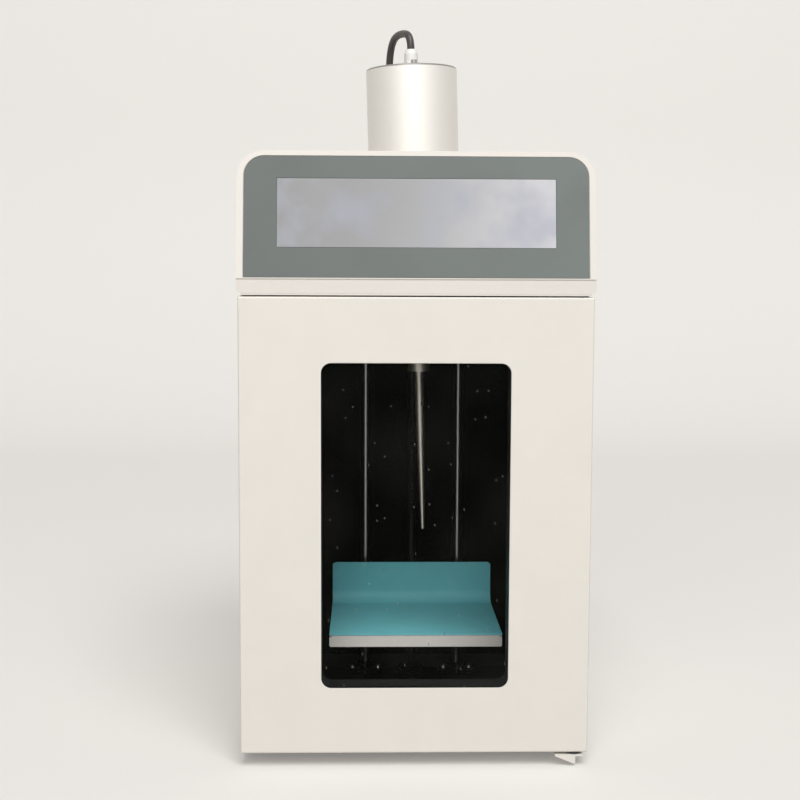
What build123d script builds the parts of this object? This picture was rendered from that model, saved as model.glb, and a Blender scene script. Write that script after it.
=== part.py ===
from build123d import *
from math import cos, pi, radians, sin, tan
import os

os.makedirs("parts", exist_ok=True)

# Frame: +X to the right, -Y to the front, +Z up, origin on the table under the middle of the cabinet.

# Cabinet
cabinet_width = 280.0
cabinet_depth = 320.0
foot_height = 10.0
foot_radius = 13.0
foot_inset = 26.0
front_foot_setback = 62.0
sheet = 1.2
fit_gap = 0.05
edge_flange = 12.0
guard_depth = 4.0

# Door, hung on pins at its right edge
door_height = 367.0
door_thickness = 24.0
door_lift = 2.0
door_gap = 3.5
door_edge_radius = 1.5
pivot_inset = 10.5
pivot_setback = 7.0
pin_radius = 2.5
pin_head_radius = 4.0
pin_head_height = 3.0
bush_radius = 4.5
bush_length = 11.0
bush_flange_radius = 6.5
bush_flange = 1.2
hinge_plate = 1.6
hinge_reach_in = 15.5
hinge_reach_out = 7.0
hinge_length = 45.0
hinge_web_drop = 6.0

# Window in the door
window_width = 150.0
window_height = 261.4
window_rise = 53.6
window_corner = 8.0
window_edge = 0.4
pane_thickness = 4.0
pane_overlap = 6.0
surround_wall = 3.0
seal_width = 9.0
seal_gap = 0.3

# Magnetic catch
magnet_width = 8.0
magnet_height = 24.0
magnet_thickness = 2.2
strike_thickness = 0.8
catch_spread = 250.0

# Head with the lip, the sloping face and the screen
lip_gap = 2.5
lip_height = 11.5
head_height = 99.0
head_corner = 20.0
hood_overhang = 1.0
hood_corner = 3.0
head_slope = 9.0
hood_wall = 2.5
groove = 1.0
lip_edge = 0.5
fascia_width = 271.0
fascia_height = 95.6
fascia_rise = 1.2
fascia_corner = 16.0
fascia_thickness = 1.0
fascia_gap = 0.5
screen_width = 218.8
screen_height = 54.4
screen_rise = 23.6
screen_gap = 0.3
screen_sink = 0.2
module_margin = 5.0
module_thickness = 7.0
board_thickness = 1.6

# Chamber and its sound lining
generator_space = 74.0
jamb_width = 28.0
opening_rise = 14.0
opening_height = 342.0
opening_corner = 6.0
frame_return = 10.0
liner_margin = 10.0
liner_bend = 3.0
foam_thickness = 8.0
foam_clearance = 4.0
slot_length = 23.0
slot_width = 6.0
slot_corner = 0.8
slot_pitch = 10.0
slot_count = 3
slot_reach = 51.0

# Lift: two guide rods, a trapezoidal screw between them and a carriage
lift_offset = 4.0
rod_spacing = 88.6
rod_radius = 4.0
rod_clearance = 21.0
screw_radius = 4.0
journal_radius = 3.0
clamp_length = 36.0
clamp_width = 20.0
clamp_slit = 1.2
clamp_base = 5.0
clamp_boss_radius = 7.5
clamp_height = 11.0
clamp_screw_pitch = 25.0
bearing_radius = 7.5
bearing_length = 24.0
running_gap = 0.06
thrust_radius = 11.0
thrust_height = 8.0
nut_radius = 5.2
nut_flange_radius = 11.0
nut_flange = 3.5
nut_length = 15.0
motor_size = 42.3
motor_height = 38.0
motor_shaft_radius = 2.5
motor_screw_pitch = 31.0
motor_corner = 4.0
coupling_radius = 9.5
coupling_length = 25.0

# Platform with its bent back and its mat
platform_level = 86.0
platform_width = 150.0
platform_depth = 120.5
platform_upstand = 37.5
lip_drop = 10.2
lip_corner = 1.5
lip_relief = 1.8
plate_thickness = 1.5
plate_step = 2.0
mat_thickness = 1.5
mat_overhang = 0.4
mat_corner = 4.0
mat_bend = 13.0
carriage_reach = 14.5
carriage_height = 28.0
carriage_width = 124.0
carriage_margin = 3.0

# Ultrasonic converter, horn and probe, on one leaning axis
probe_lean = 1.7
probe_offset = 2.3
motor_gap = 0.85
sleeve_radius = 40.0
sleeve_wall = 2.5
sleeve_stand = 84.0
sleeve_floor = 3.0
seat_height = 4.5
guide_gap = 0.3
ring_wall = 4.0
cap_thickness = 1.5
cap_step = 0.5
cap_edge = 0.3
cap_plug = 5.0
cap_screw_circle = 34.0
cap_screw_count = 3
cap_screw_turn = -88.0
cap_screw_radius = 1.5
cap_screw_head_radius = 2.6
cap_screw_head = 3.4
gland_radius = 6.5
gland_height = 17.4
gland_nut = 6.0
gland_taper = 4.0
gland_shoulder = 0.6
gland_thread_radius = 5.0
gland_thread = 3.0
stack_radius = 25.0
back_mass_length = 34.0
ring_thickness = 6.0
ring_count = 4
ring_bore = 7.0
electrode_thickness = 0.5
bolt_radius = 5.0
bolt_head_radius = 8.0
bolt_head = 8.0
front_mass_length = 32.0
horn_flange_radius = 34.0
horn_flange = 5.0
horn_root_radius = 19.0
horn_end_radius = 9.7
horn_end_drop = 182.4
horn_straight = 22.0
stud_radius = 3.0
stud_length = 12.0
shank_radius = 4.0
cross_hole_radius = 2.0
cross_hole_drop = 211.6
taper_drop = 217.0
tip_radius = 1.5
tip_drop = 326.2

# Converter cable, from the gland over the sleeve's edge to a socket behind it
cable_diameter = 6.5
plug_offset = -16.5
plug_reach = 53.0
plug_nose_radius = 6.0
plug_nose = 8.0
plug_radius = 9.0
plug_length = 16.0
plug_neck_radius = 5.0
plug_neck = 12.0
socket_radius = 8.0
socket_depth = 14.0
socket_flange_radius = 12.0
socket_flange = 3.0
socket_gap = 0.4

# Rear cover, fan and mains inlet
fan_size = 80.0
fan_depth = 25.0
fan_bore = 38.0
fan_inset = 68.0
fan_level = 438.0
fan_wall = 3.0
hub_radius = 16.0
blade_count = 7
blade_thickness = 1.4
blade_gap = 1.5
strut_width = 5.0
guard_wire = 2.0
guard_rings = 4
inlet_width = 27.0
inlet_height = 58.0
inlet_depth = 30.0
inlet_margin = 3.0
inlet_flange = 2.5
inlet_inset = 45.0
inlet_level = 60.0
rocker_width = 13.0
rocker_height = 19.0
rocker_tilt = 9.0
fuse_width = 20.0
fuse_height = 9.0
fuse_depth = 18.0
inlet_gap = 0.3
vent_length = 44.0
vent_width = 3.0
vent_pitch = 8.0
vent_count = 12

# Generator behind the chamber
standoff_length = 8.0
standoff_radius = 3.0
generator_width = 190.0
generator_height = 230.0
generator_level = 190.0
sink_width = 120.0
sink_height = 86.0
sink_base = 4.0
sink_depth = 30.0
fin_thickness = 1.6
fin_count = 12
sink_level = 250.0
coil_radius = 21.0
coil_section = 9.0
coil_level = 128.0
coil_offset = 30.0
capacitor_radius = 12.5
capacitor_length = 36.0
capacitor_count = 4
capacitor_level = 178.0

# Pan-head screws
screw_head_radius = 3.5
screw_head = 2.2
screw_shank_radius = 2.0

# Levels and depths that follow
front = -cabinet_depth / 2
half_width = cabinet_width / 2
case_front = front + door_thickness + door_gap
cover_rear = -front - guard_depth
case_rear = cover_rear - sheet
door_bottom = foot_height + door_lift
door_top = door_bottom + door_height
lip_bottom = door_top + lip_gap
lip_top = lip_bottom + lip_height
head_top = lip_top + head_height
deck_top = lip_top + sheet
floor_top = foot_height + sheet
pivot = (half_width - pivot_inset, front + pivot_setback)
window_centre = door_bottom + window_rise + window_height / 2
opening_width = cabinet_width - 2 * jamb_width
liner_width = opening_width + 2 * liner_margin
liner_back = -front - generator_space
rod_y = liner_back - rod_clearance
probe_y = rod_y - motor_size / 2 - motor_gap - sleeve_radius - 2 * ring_wall
rod_places = [(lift_offset - rod_spacing / 2, rod_y), (lift_offset + rod_spacing / 2, rod_y)]
screw_place = (lift_offset, rod_y)
fan_offset = half_width - fan_inset
inlet_offset = inlet_inset - half_width
hood_half = half_width + hood_overhang
hood_top = head_top + hood_overhang
slope = radians(head_slope)
lean = radians(probe_lean)

# The converter's axis leans a little to the left; its heights count from the top of the head
probe_origin = (probe_offset, probe_y, head_top)
probe_up = (-sin(lean), 0, cos(lean))
probe_across = (cos(lean), 0, sin(lean))
probe_plane = Plane(origin=probe_origin, x_dir=probe_across, z_dir=probe_up)
probe_section = Plane(origin=probe_origin, x_dir=probe_across, z_dir=(0, -1, 0))
probe_axis = Axis(probe_origin, probe_up)

# The head's sloping face starts at the top of the lip
slope_plane = Plane(origin=(0, front, lip_top), x_dir=(1, 0, 0), z_dir=(0, -cos(slope), sin(slope)))


def save(piece, node):
    """Label one finished piece and write it to a file of its own."""
    piece.part.label = node
    export_step(piece.part, f"parts/{node}.step")


def upright(y):
    """Upright plane at depth y that faces the front; its axes are x and z."""
    return Plane.XZ.offset(-y)


def round_topped(width, bottom, top, radius):
    """Upright outline, square at its foot and rounded at its two top corners."""
    with BuildSketch(mode=Mode.PRIVATE) as outline:
        with Locations((0, (bottom + top) / 2)):
            Rectangle(width, top - bottom)
        fillet(outline.vertices().group_by(Axis.Y)[-1], radius)
    return outline.sketch


def window_outline(extra):
    """The window's rounded outline, grown by extra on every side."""
    with BuildSketch(mode=Mode.PRIVATE) as outline:
        with Locations((0, window_centre)):
            RectangleRounded(window_width + 2 * extra, window_height + 2 * extra, window_corner + extra)
    return outline.sketch


def fascia_outline(extra):
    """The fascia's outline on the sloping face, round at its top corners, grown by extra."""
    return round_topped(
        fascia_width + 2 * extra,
        fascia_rise - extra,
        fascia_rise + fascia_height + extra,
        fascia_corner + extra,
    )


def screen_outline(extra):
    """The screen's outline on the sloping face, grown by extra."""
    with BuildSketch(mode=Mode.PRIVATE) as outline:
        with Locations((0, fascia_rise + screen_rise + screen_height / 2)):
            Rectangle(screen_width + 2 * extra, screen_height + 2 * extra)
    return outline.sketch


def hood_form(inset):
    """Lip and sloping face of the head, drawn in by inset on every side but the rear."""
    rear = case_front + inset
    slope_run = (hood_top - lip_top) * tan(slope)
    with BuildSketch(upright(front), mode=Mode.PRIVATE) as outline:
        add(
            round_topped(
                2 * (hood_half - inset),
                lip_bottom + inset,
                hood_top - inset,
                head_corner + hood_overhang - inset,
            )
        )
        fillet(outline.vertices().group_by(Axis.Y)[0], max(hood_corner - inset, lip_edge))
    with BuildPart(mode=Mode.PRIVATE) as form:
        with BuildSketch(Plane.YZ.offset(-hood_half)):
            with BuildLine():
                Polyline(
                    (front, lip_bottom),
                    (front, lip_top),
                    (front + slope_run, hood_top),
                    (rear, hood_top),
                    (rear, lip_bottom),
                    close=True,
                )
            make_face()
            if inset:
                offset(amount=-inset, kind=Kind.INTERSECTION)
        extrude(amount=2 * hood_half)
        extrude(outline.sketch, amount=front - case_front, mode=Mode.INTERSECT)
    return form.part


def pan_screw(plane, shank):
    """A pan-head screw whose head stands on the plane and whose shank runs behind it."""
    with BuildPart(mode=Mode.PRIVATE) as screw:
        with BuildSketch(plane):
            Circle(screw_head_radius)
        extrude(amount=screw_head, taper=20)
        with BuildSketch(plane):
            Circle(screw_shank_radius)
        extrude(amount=-shank)
    return screw.part


def block(low, high):
    """A plain block between two opposite corners."""
    size = [b - a for a, b in zip(low, high)]
    with BuildPart(mode=Mode.PRIVATE) as piece:
        with Locations(tuple((a + b) / 2 for a, b in zip(low, high))):
            Box(*size)
    return piece.part


def drill(plane, places, radius, near, far):
    """Cut round holes from near to far along the plane's normal in the part being built."""
    with BuildSketch(plane.offset(near)) as holes:
        with Locations(*places):
            Circle(radius)
    extrude(holes.sketch, amount=far - near, mode=Mode.SUBTRACT)


# Cabinet shell

pan_width = cabinet_width - 2 * sheet - 2 * fit_gap
pan_front = case_front + sheet + fit_gap
pan_rear = case_rear - sheet - fit_gap
pan_middle = (pan_front + pan_rear) / 2
foot_x = half_width - foot_inset
foot_ys = [front + front_foot_setback, case_rear - foot_inset]
foot_places = [(x, y) for x in (-foot_x, foot_x) for y in foot_ys]
socket_place = (plug_offset, probe_y + plug_reach)
cover_screw_x = half_width - edge_flange / 2
cover_screw_zs = [foot_height + 30, (foot_height + head_top) / 2, head_top - 40]
cover_screw_places = [(x, z) for x in (-cover_screw_x, cover_screw_x) for z in cover_screw_zs]
cover_screw_places += [(x, head_top - edge_flange / 2) for x in (-half_width / 2, half_width / 2)]
screw_hole = screw_shank_radius + fit_gap
clamp_screw_offsets = [-clamp_screw_pitch / 2, clamp_screw_pitch / 2]
clamp_screw_places = [(x + offset, rod_y) for x, _ in rod_places for offset in clamp_screw_offsets]
plate_front = front + 1.2
hinge_screw_places = [(pivot[0] - 3, case_front + 8), (pivot[0] - 3, plate_front + hinge_length - 6)]

# Sides and top are one bent sheet, with a flange turned in at the rear
with BuildPart() as case_wrap:
    with BuildSketch(upright(case_front)):
        add(round_topped(cabinet_width, foot_height, head_top, head_corner))
        add(
            round_topped(cabinet_width - 2 * sheet, 0, head_top - sheet, head_corner - sheet),
            mode=Mode.SUBTRACT,
        )
    extrude(amount=case_front - case_rear)
    with BuildSketch(upright(case_rear - sheet)):
        add(round_topped(cabinet_width - sheet, foot_height, head_top - sheet / 2, head_corner - sheet / 2))
        add(
            round_topped(
                cabinet_width - 2 * edge_flange, 0, head_top - edge_flange, head_corner - edge_flange
            ),
            mode=Mode.SUBTRACT,
        )
    extrude(amount=-sheet)
    drill(probe_plane, [(0, 0)], sleeve_radius + ring_wall + fit_gap, -10, 10)
    drill(Plane.XY, [socket_place], socket_radius + fit_gap, head_top - 2 * sheet, head_top + sheet)
    drill(upright(case_rear), cover_screw_places, screw_hole, -sheet, 2 * sheet)
save(case_wrap, "case_wrap")

slot_centre = (lift_offset, rod_y - slot_reach)

# Floor tray with turned-up sides and three slots in front of the lift
with BuildPart() as base_pan:
    add(block((-pan_width / 2, pan_front, foot_height), (pan_width / 2, pan_rear, foot_height + edge_flange)))
    add(
        block(
            (-pan_width / 2 + sheet, pan_front - 1, floor_top),
            (pan_width / 2 - sheet, pan_rear + 1, foot_height + edge_flange),
        ),
        mode=Mode.SUBTRACT,
    )
    with BuildSketch(Plane.XY.offset(foot_height)):
        with Locations(slot_centre):
            with GridLocations(0, slot_pitch, 1, slot_count):
                RectangleRounded(slot_length, slot_width, slot_corner)
    extrude(amount=sheet, mode=Mode.SUBTRACT)
    drill(Plane.XY, foot_places + clamp_screw_places + hinge_screw_places, screw_hole, foot_height, floor_top)
save(base_pan, "base_pan")

opening_centre = foot_height + opening_rise + opening_height / 2
frame_low = foot_height + fit_gap
frame_high = lip_top - fit_gap

# Sheet frame round the chamber's mouth, with its edge turned in
with BuildPart() as front_frame:
    add(block((-pan_width / 2, case_front, frame_low), (pan_width / 2, case_front + sheet, frame_high)))
    with BuildSketch(upright(case_front)):
        with Locations((0, opening_centre)):
            RectangleRounded(opening_width, opening_height, opening_corner)
    extrude(amount=-frame_return)
    with BuildSketch(upright(case_front)):
        with Locations((0, opening_centre)):
            RectangleRounded(opening_width - 2 * sheet, opening_height - 2 * sheet, opening_corner - sheet)
    extrude(amount=-frame_return, mode=Mode.SUBTRACT)
save(front_frame, "front_frame")

deck_hole_radius = horn_flange_radius - ring_wall
motor_screw_places = [
    (lift_offset + x * motor_screw_pitch / 2, rod_y + y * motor_screw_pitch / 2)
    for x in (-1, 1)
    for y in (-1, 1)
]
deck_slot_y = liner_back + 30

# Deck between chamber and head; the converter stands on it and so does the lift motor
with BuildPart() as mid_deck:
    add(block((-pan_width / 2, pan_front, lip_top), (pan_width / 2, pan_rear, deck_top)))
    drill(Plane.XY, [screw_place], coupling_radius + 1.5, lip_top, deck_top)
    drill(Plane.XY, motor_screw_places + clamp_screw_places, screw_hole, lip_top, deck_top)
    drill(probe_plane, [(0, 0)], deck_hole_radius, -head_height - 10, -head_height + 10)
    with BuildSketch(Plane.XY.offset(lip_top)):
        with Locations((-half_width / 2, deck_slot_y)):
            SlotOverall(40, 20)
    extrude(amount=sheet, mode=Mode.SUBTRACT)
save(mid_deck, "mid_deck")

liner_front = case_front + frame_return + fit_gap
liner_low = floor_top + fit_gap
liner_high = lip_top - fit_gap

# Three chamber walls, bent from one sheet
with BuildPart() as chamber_liner:
    with BuildSketch(Plane.XY.offset(liner_low)):
        with BuildLine() as walls:
            FilletPolyline(
                (-liner_width / 2, liner_front),
                (-liner_width / 2, liner_back),
                (liner_width / 2, liner_back),
                (liner_width / 2, liner_front),
                radius=liner_bend,
            )
            offset(amount=-sheet, side=Side.RIGHT)
        make_face()
    extrude(amount=liner_high - liner_low)
save(chamber_liner, "chamber_liner")

foam_front = liner_front + 2.0
foam_low = floor_top + clamp_height + foam_clearance
foam_high = lip_top - clamp_height - foam_clearance
foam_outer = liner_width / 2 - sheet - fit_gap
foam_inner = foam_outer - foam_thickness
foam_back = liner_back - sheet - fit_gap
back_panel_half = foam_outer - liner_bend

# Sound-absorbing panels on the two side walls and the back wall
with BuildPart() as acoustic_foam:
    add(
        block(
            (-foam_outer, foam_front, foam_low),
            (-foam_inner, foam_back - foam_thickness - 0.3, foam_high),
        )
    )
    add(block((foam_inner, foam_front, foam_low), (foam_outer, foam_back - foam_thickness - 0.3, foam_high)))
    add(
        block(
            (-back_panel_half, foam_back - foam_thickness, foam_low),
            (back_panel_half, foam_back, foam_high),
        )
    )
save(acoustic_foam, "acoustic_foam")

# Rubber feet, wider at the top, each recessed for its screw
with BuildPart() as feet:
    with Locations(*foot_places):
        Cone(foot_radius - 2.0, foot_radius, foot_height, align=(Align.CENTER, Align.CENTER, Align.MIN))
    drill(Plane.XY, foot_places, screw_head_radius + 0.5, 0, foot_height / 2)
    drill(Plane.XY, foot_places, screw_hole, 0, foot_height)
save(feet, "feet")

# Head

hood_cavity = hood_form(hood_wall)
upper_plate_low = lip_bottom + hood_wall

# Moulded hood: lip, groove, sloping face recessed for the fascia, open at the rear
with BuildPart() as head_hood:
    add(hood_form(0))
    add(hood_cavity, mode=Mode.SUBTRACT)
    with BuildSketch(slope_plane):
        add(fascia_outline(fascia_gap))
    extrude(amount=-fascia_thickness, mode=Mode.SUBTRACT)
    with BuildSketch(slope_plane):
        add(screen_outline(screen_gap))
    extrude(amount=-3 * hood_wall, mode=Mode.SUBTRACT)
    add(
        block((-hood_half, front, lip_top - groove), (hood_half, front + groove, lip_top)),
        mode=Mode.SUBTRACT,
    )
    drill(Plane.XY, [pivot], pin_radius + 0.5, lip_bottom, upper_plate_low)
save(head_hood, "head_hood")

# Thin grey fascia with a window for the screen
with BuildPart() as fascia_panel:
    with BuildSketch(slope_plane.offset(-fascia_thickness)):
        add(fascia_outline(0))
        add(screen_outline(screen_gap), mode=Mode.SUBTRACT)
    extrude(amount=fascia_thickness - fit_gap)
save(fascia_panel, "fascia_panel")

# Touch glass, filling the fascia's window
with BuildPart() as touch_screen:
    with BuildSketch(slope_plane.offset(-hood_wall)):
        add(screen_outline(0))
    extrude(amount=hood_wall - screen_sink)
save(touch_screen, "touch_screen")

module_front = -hood_wall - fit_gap

# Display module in its tray, behind the hood's wall
with BuildPart() as display_module:
    with BuildSketch(slope_plane.offset(module_front)):
        add(screen_outline(module_margin))
    extrude(amount=-module_thickness)
    chamfer(display_module.faces().sort_by(Axis.Y)[-1].edges(), 1.0)
save(display_module, "display_module")

board_front = module_front - module_thickness - fit_gap
connector_depth = 6.0

# Screen controller board with two connectors and a buzzer
with BuildPart() as display_board:
    with BuildSketch(slope_plane.offset(board_front)):
        with Locations((0, fascia_rise + screen_rise + screen_height / 2)):
            Rectangle(screen_width / 2, screen_height)
    extrude(amount=-board_thickness)
    with BuildSketch(slope_plane.offset(board_front - board_thickness)):
        with Locations((-screen_width / 8, screen_rise + 10), (screen_width / 8, screen_rise + 10)):
            Rectangle(22, 8)
        with Locations((0, screen_rise + screen_height - 8)):
            Circle(6)
    extrude(amount=-connector_depth)
save(display_board, "display_board")

# Door

# Folded pan: front sheet with its four edges turned back, and the window cut out
with BuildPart() as door_skin:
    add(block((-half_width, front, door_bottom), (half_width, front + door_thickness, door_top)))
    fillet(door_skin.faces().sort_by(Axis.Y)[0].edges(), door_edge_radius)
    add(
        block(
            (-half_width + sheet, front + sheet, door_bottom + sheet),
            (half_width - sheet, front + door_thickness, door_top - sheet),
        ),
        mode=Mode.SUBTRACT,
    )
    with BuildSketch(upright(front)):
        add(window_outline(0))
    extrude(amount=-sheet, mode=Mode.SUBTRACT)
    fillet(door_skin.faces().sort_by(Axis.Y)[0].inner_wires()[0].edges(), window_edge)
    drill(Plane.XY, [pivot], bush_radius + fit_gap, door_bottom, door_bottom + sheet)
    drill(Plane.XY, [pivot], bush_radius + fit_gap, door_top - sheet, door_top)
save(door_skin, "door_skin")

panel_front = front + door_thickness - sheet
door_back = front + door_thickness
catch_x = -half_width + pivot_inset
catch_zs = [
    door_bottom + door_height / 2 - catch_spread / 2,
    door_bottom + door_height / 2 + catch_spread / 2,
]

# Inner panel, let in between the pan's turned edges
with BuildPart() as door_inner_panel:
    add(
        block(
            (-half_width + sheet + fit_gap, panel_front, door_bottom + sheet + fit_gap),
            (half_width - sheet - fit_gap, door_back, door_top - sheet - fit_gap),
        )
    )
    with BuildSketch(upright(panel_front)):
        add(window_outline(0))
    extrude(amount=-sheet, mode=Mode.SUBTRACT)
    fillet(door_inner_panel.faces().sort_by(Axis.Y)[-1].outer_wire().edges(), 0.5)
save(door_inner_panel, "door_inner_panel")

pane_front = front + sheet
pane_rear = pane_front + pane_thickness

# Tinted pane behind the skin
with BuildPart() as window_pane:
    with BuildSketch(upright(pane_front)):
        add(window_outline(pane_overlap))
    extrude(amount=-pane_thickness)
save(window_pane, "window_pane")

# Moulded surround: lines the window between skin and inner panel, and holds the pane in its rebate
with BuildPart() as window_surround:
    with BuildSketch(upright(pane_front)):
        add(window_outline(pane_overlap + surround_wall))
    extrude(amount=pane_front - panel_front)
    with BuildSketch(upright(pane_front)):
        add(window_outline(0))
    extrude(amount=pane_front - panel_front, mode=Mode.SUBTRACT)
    with BuildSketch(upright(pane_front)):
        add(window_outline(pane_overlap + fit_gap))
    extrude(amount=-pane_thickness, mode=Mode.SUBTRACT)
save(window_surround, "window_surround")

seal_outer_width = opening_width + 2 * seal_width + 2
seal_outer_height = opening_height + 2 * seal_width + 2

# Soft seal that closes the gap between door and cabinet frame
with BuildPart() as door_seal:
    with BuildSketch(upright(door_back)):
        with Locations((0, opening_centre)):
            RectangleRounded(seal_outer_width, seal_outer_height, opening_corner + seal_width)
            RectangleRounded(
                seal_outer_width - 2 * seal_width,
                seal_outer_height - 2 * seal_width,
                opening_corner,
                mode=Mode.SUBTRACT,
            )
    extrude(amount=seal_gap - door_gap)
    chamfer(door_seal.faces().sort_by(Axis.Y)[-1].edges(), 1.0)
save(door_seal, "door_seal")


def catch_blocks(near, far):
    """The two catch blocks at the door's free edge, from depth near to depth far."""
    with BuildPart(mode=Mode.PRIVATE) as pair:
        for z in catch_zs:
            with Locations((catch_x, (near + far) / 2, z)):
                Box(magnet_width, far - near, magnet_height)
    return pair.part


# Steel strikes on the door and the magnets that hold them
with BuildPart() as strike_plates:
    add(catch_blocks(door_back, door_back + strike_thickness))
save(strike_plates, "strike_plates")

with BuildPart() as catch_magnets:
    add(catch_blocks(case_front - magnet_thickness, case_front))
save(catch_magnets, "catch_magnets")

# Flanged pivot bushes, pressed into the pan's lower and upper edges
with BuildPart() as pivot_bushes:
    with BuildSketch(Plane.XY.offset(door_bottom)):
        with Locations(pivot):
            Circle(bush_radius)
    extrude(amount=bush_length)
    with BuildSketch(Plane.XY.offset(door_bottom)):
        with Locations(pivot):
            Circle(bush_flange_radius)
    extrude(amount=-bush_flange)
    with BuildSketch(Plane.XY.offset(door_top)):
        with Locations(pivot):
            Circle(bush_radius)
    extrude(amount=-bush_length)
    with BuildSketch(Plane.XY.offset(door_top)):
        with Locations(pivot):
            Circle(bush_flange_radius)
    extrude(amount=bush_flange)
    drill(Plane.XY, [pivot], pin_radius + running_gap, door_bottom - bush_flange, door_top + bush_flange)
save(pivot_bushes, "pivot_bushes")

plate_left = pivot[0] - hinge_reach_in
plate_right = pivot[0] + hinge_reach_out
lower_plate_low = foot_height - hinge_plate
upper_tab_top = upper_plate_low + hinge_plate
flange_rise = 6.0

# Lower plate under the floor with a three-cornered web; upper angle inside the lip
with BuildPart() as hinge_plates:
    with BuildSketch(Plane.XY.offset(lower_plate_low)):
        with BuildLine():
            Polyline(
                (plate_left, plate_front),
                (plate_right, plate_front),
                (plate_right, plate_front + hinge_length),
                (plate_left, plate_front + hinge_length),
                close=True,
            )
        make_face()
    extrude(amount=hinge_plate)
    with BuildSketch(upright(plate_front)):
        with BuildLine():
            Polyline(
                (plate_left, lower_plate_low),
                (pivot[0] - 1, lower_plate_low - hinge_web_drop),
                (pivot[0] + 1, lower_plate_low - hinge_web_drop),
                (pivot[0] + 1, lower_plate_low),
                close=True,
            )
        make_face()
    extrude(amount=-hinge_plate)
    drill(Plane.XY, [pivot], pin_radius + fit_gap, lower_plate_low, foot_height)
    drill(Plane.XY, hinge_screw_places, screw_hole, lower_plate_low, foot_height)
    add(
        block(
            (plate_left, front + hood_wall + 0.5, upper_plate_low),
            (plate_right - 2, case_front, upper_tab_top),
        )
    )
    add(
        block(
            (plate_left, case_front - hinge_plate, upper_tab_top),
            (plate_right - 2, case_front, upper_tab_top + flange_rise),
        )
    )
    drill(Plane.XY, [pivot], pin_radius + fit_gap, upper_plate_low, upper_tab_top)
save(hinge_plates, "hinge_plates")


def hinge_pin(seat, tip, side):
    """A headed pin from its seat to its tip; side is -1 for a head below the seat, 1 above."""
    with BuildPart(mode=Mode.PRIVATE) as pin:
        with BuildSketch(Plane.XY.offset(seat)):
            with Locations(pivot):
                Circle(pin_head_radius)
        extrude(amount=side * pin_head_height)
        with BuildSketch(Plane.XY.offset(seat)):
            with Locations(pivot):
                Circle(pin_radius)
        extrude(amount=tip - seat)
        chamfer(pin.edges().sort_by(Axis.Z)[0 if side > 0 else -1], 0.5)
    return pin.part


# Headed pins: the lower one points up into the door, the upper one down
with BuildPart() as hinge_pins:
    add(hinge_pin(lower_plate_low, door_bottom + bush_length, -1))
    add(hinge_pin(upper_tab_top, door_top - bush_length, 1))
save(hinge_pins, "hinge_pins")

# Lift

rod_low = floor_top
rod_high = lip_top - fit_gap
clamp_bore = rod_radius + fit_gap

# Hardened guide rods from floor to deck
with BuildPart() as guide_rods:
    with BuildSketch(Plane.XY.offset(rod_low)):
        with Locations(*rod_places):
            Circle(rod_radius)
    extrude(amount=rod_high - rod_low)
    chamfer(guide_rods.edges().group_by(Axis.Z)[-1], 0.5)
save(guide_rods, "guide_rods")


def rod_clamp(place, seat, side):
    """A flanged shaft support on its seat; side is 1 for standing up, -1 for hanging down."""
    with BuildPart(mode=Mode.PRIVATE) as clamp:
        with BuildSketch(Plane.XY.offset(seat)):
            with Locations(place):
                SlotOverall(clamp_length, clamp_width)
        extrude(amount=side * clamp_base)
        with BuildSketch(Plane.XY.offset(seat)):
            with Locations(place):
                Circle(clamp_boss_radius)
        extrude(amount=side * clamp_height)
        with BuildSketch(Plane.XY.offset(seat)):
            with Locations(place):
                Circle(clamp_bore)
            with Locations((place[0], place[1] - clamp_boss_radius)):
                Rectangle(clamp_slit, 2 * clamp_boss_radius)
            with Locations(*[(place[0] + offset, place[1]) for offset in clamp_screw_offsets]):
                Circle(screw_hole)
        extrude(amount=side * clamp_height, mode=Mode.SUBTRACT)
    return clamp.part


# Split supports at both ends of the rods
with BuildPart() as rod_clamps:
    for place in rod_places:
        add(rod_clamp(place, floor_top, 1))
        add(rod_clamp(place, lip_top, -1))
save(rod_clamps, "rod_clamps")

journal_low = floor_top + 1.0
journal_high = floor_top + thrust_height
thrust_flange_radius = thrust_radius + 4.0
thrust_flange = 3.0

# Flanged bearing for the foot of the screw
with BuildPart() as screw_bearing:
    with BuildSketch(Plane.XY.offset(floor_top)):
        with Locations(screw_place):
            Circle(thrust_flange_radius)
    extrude(amount=thrust_flange)
    with BuildSketch(Plane.XY.offset(floor_top)):
        with Locations(screw_place):
            Circle(thrust_radius)
    extrude(amount=thrust_height)
    drill(Plane.XY, [screw_place], journal_radius + running_gap, journal_low, journal_high)
save(screw_bearing, "screw_bearing")

coupling_high = lip_top - 2.0
coupling_low = coupling_high - coupling_length

# Trapezoidal screw: turned foot journal, threaded length and the end held in the coupling
with BuildPart() as lead_screw:
    with BuildSketch(Plane.XY.offset(journal_low + 0.2)):
        with Locations(screw_place):
            Circle(journal_radius)
    extrude(amount=journal_high - journal_low)
    with BuildSketch(Plane.XY.offset(journal_high + 0.1)):
        with Locations(screw_place):
            Circle(screw_radius)
    extrude(amount=coupling_low + coupling_length / 2 - 1 - journal_high)
save(lead_screw, "lead_screw")

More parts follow.
